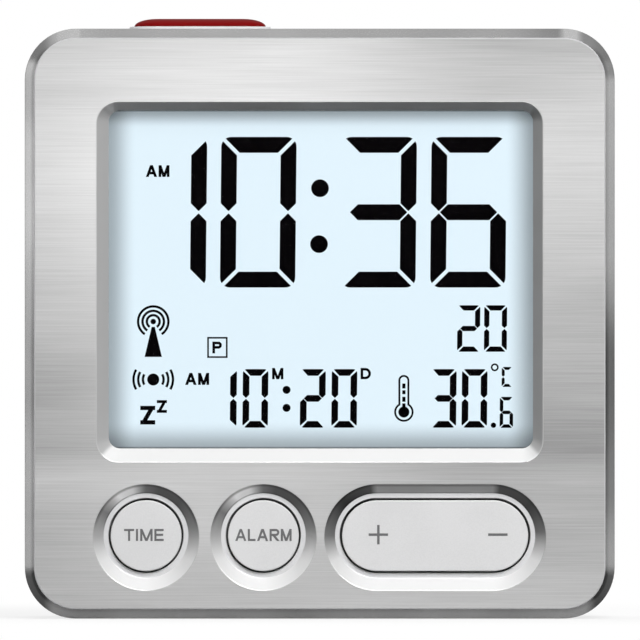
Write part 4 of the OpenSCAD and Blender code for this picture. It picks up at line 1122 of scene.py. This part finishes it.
# stage: pale floor, soft lamps, white surround
stage = {"floorRadius": 1.5, "floorSides": 96, "floorDrop": 0.05 * mm, "shadowReach": (0.05, 0.2),
         "near": 0.78, "pale": 0.8, "mirrored": 0.55, "dark": 0.06, "aim": (0, -0.015, 0.045),
         "low": 0.05, "high": 0.4, "rise": (-0.1, 0.9)}  # the surround's light, from below to above
lamps = [  # name, place, watts, width and height, and the part of its light that is left out
    ("keyLamp", (0.18, -0.63, 0.49), 5.6, (0.34, 0.3), None),
    ("fillLamp", (-0.1, -1.3, 0.25), 1.8, (0.8, 0.5), "visible_diffuse"),
    ("topLamp", (-0.1, 0.25, 0.8), 2.0, (0.5, 0.5), "visible_glossy"),
    ("leftLamp", (-0.9, -0.1, 0.15), 1.5, (0.6, 0.6), "visible_diffuse"),
    ("rightLamp", (0.9, -0.1, 0.15), 0.5, (0.6, 0.6), "visible_diffuse"),
    ("backLamp", (-0.5, 0.9, 0.1), 3.8, (0.6, 0.6), "visible_glossy"),
    ("leftSideLamp", (-0.9, 0.3, 0.15), 2.5, (0.6, 0.6), "visible_glossy"),
    ("rightSideLamp", (0.9, 0.3, 0.15), 2.5, (0.6, 0.6), "visible_glossy"),
]
bpy.ops.object.select_all(action="DESELECT")
bpy.ops.mesh.primitive_circle_add(vertices=stage["floorSides"], radius=stage["floorRadius"],
                                  fill_type="NGON", location=(0, 0, -stage["floorDrop"]))
floor = settle(bpy.context.object, "floor")
floorFinish = bpy.data.materials.new("floorFinish")
floorFinish.use_nodes = True
tree = floorFinish.node_tree
wire = Wire(tree)
seen = wire.ray("Camera").most(wire.ray("Transmission"))
away = wire.node("VectorMath", {"operation": "LENGTH"}, {0: wire.coords()}, output=1)
share = wire.fade(away, *stage["shadowReach"]) * (1 - stage["near"]) + stage["near"]
pale, silver, dark = (wire.node("BsdfDiffuse", inputs={"Color": grey(stage[k])})
                      for k in ("pale", "mirrored", "dark"))
glow = wire.node("Emission", inputs={"Color": grey(1.0), "Strength": 1.0})
unseen = wire.node("MixShader", inputs={0: wire.ray("Glossy"), 1: dark, 2: silver})
bright = wire.node("MixShader", inputs={0: share, 1: pale, 2: glow})
mixed = wire.node("MixShader", inputs={0: seen, 1: unseen, 2: bright})
tree.links.new(mixed.socket, tree.nodes["Material Output"].inputs[0])
paint(floor, floorFinish)

for name, place, power, (width, height), leftOut in lamps:
    bpy.ops.object.light_add(type="AREA", location=place)
    light = bpy.context.object
    light.name = name
    light.data.shape = "RECTANGLE"
    light.data.size = width
    light.data.size_y = height
    light.data.energy = power
    direction = Vector([b - a for a, b in zip(place, stage["aim"])])
    light.rotation_euler = direction.to_track_quat("-Z", "Y").to_euler()
    if leftOut:
        setattr(light, leftOut, False)

world = bpy.data.worlds.new("surround")
bpy.context.scene.world = world
world.use_nodes = True
tree = world.node_tree
wire = Wire(tree)
seen = wire.ray("Camera").most(wire.ray("Transmission"))
background = tree.nodes["Background"]
background.inputs[0].default_value = grey(1.0)
up = wire.node("SeparateXYZ", inputs={0: wire.node("TexCoord", output="Generated")}, output=2)
ambient = wire.fade(up, *stage["rise"]) * (stage["high"] - stage["low"]) + stage["low"]
tree.links.new(seen.most(ambient).socket, background.inputs[1])

bpy.context.scene.view_settings.view_transform = "Standard"
print("stage lit")
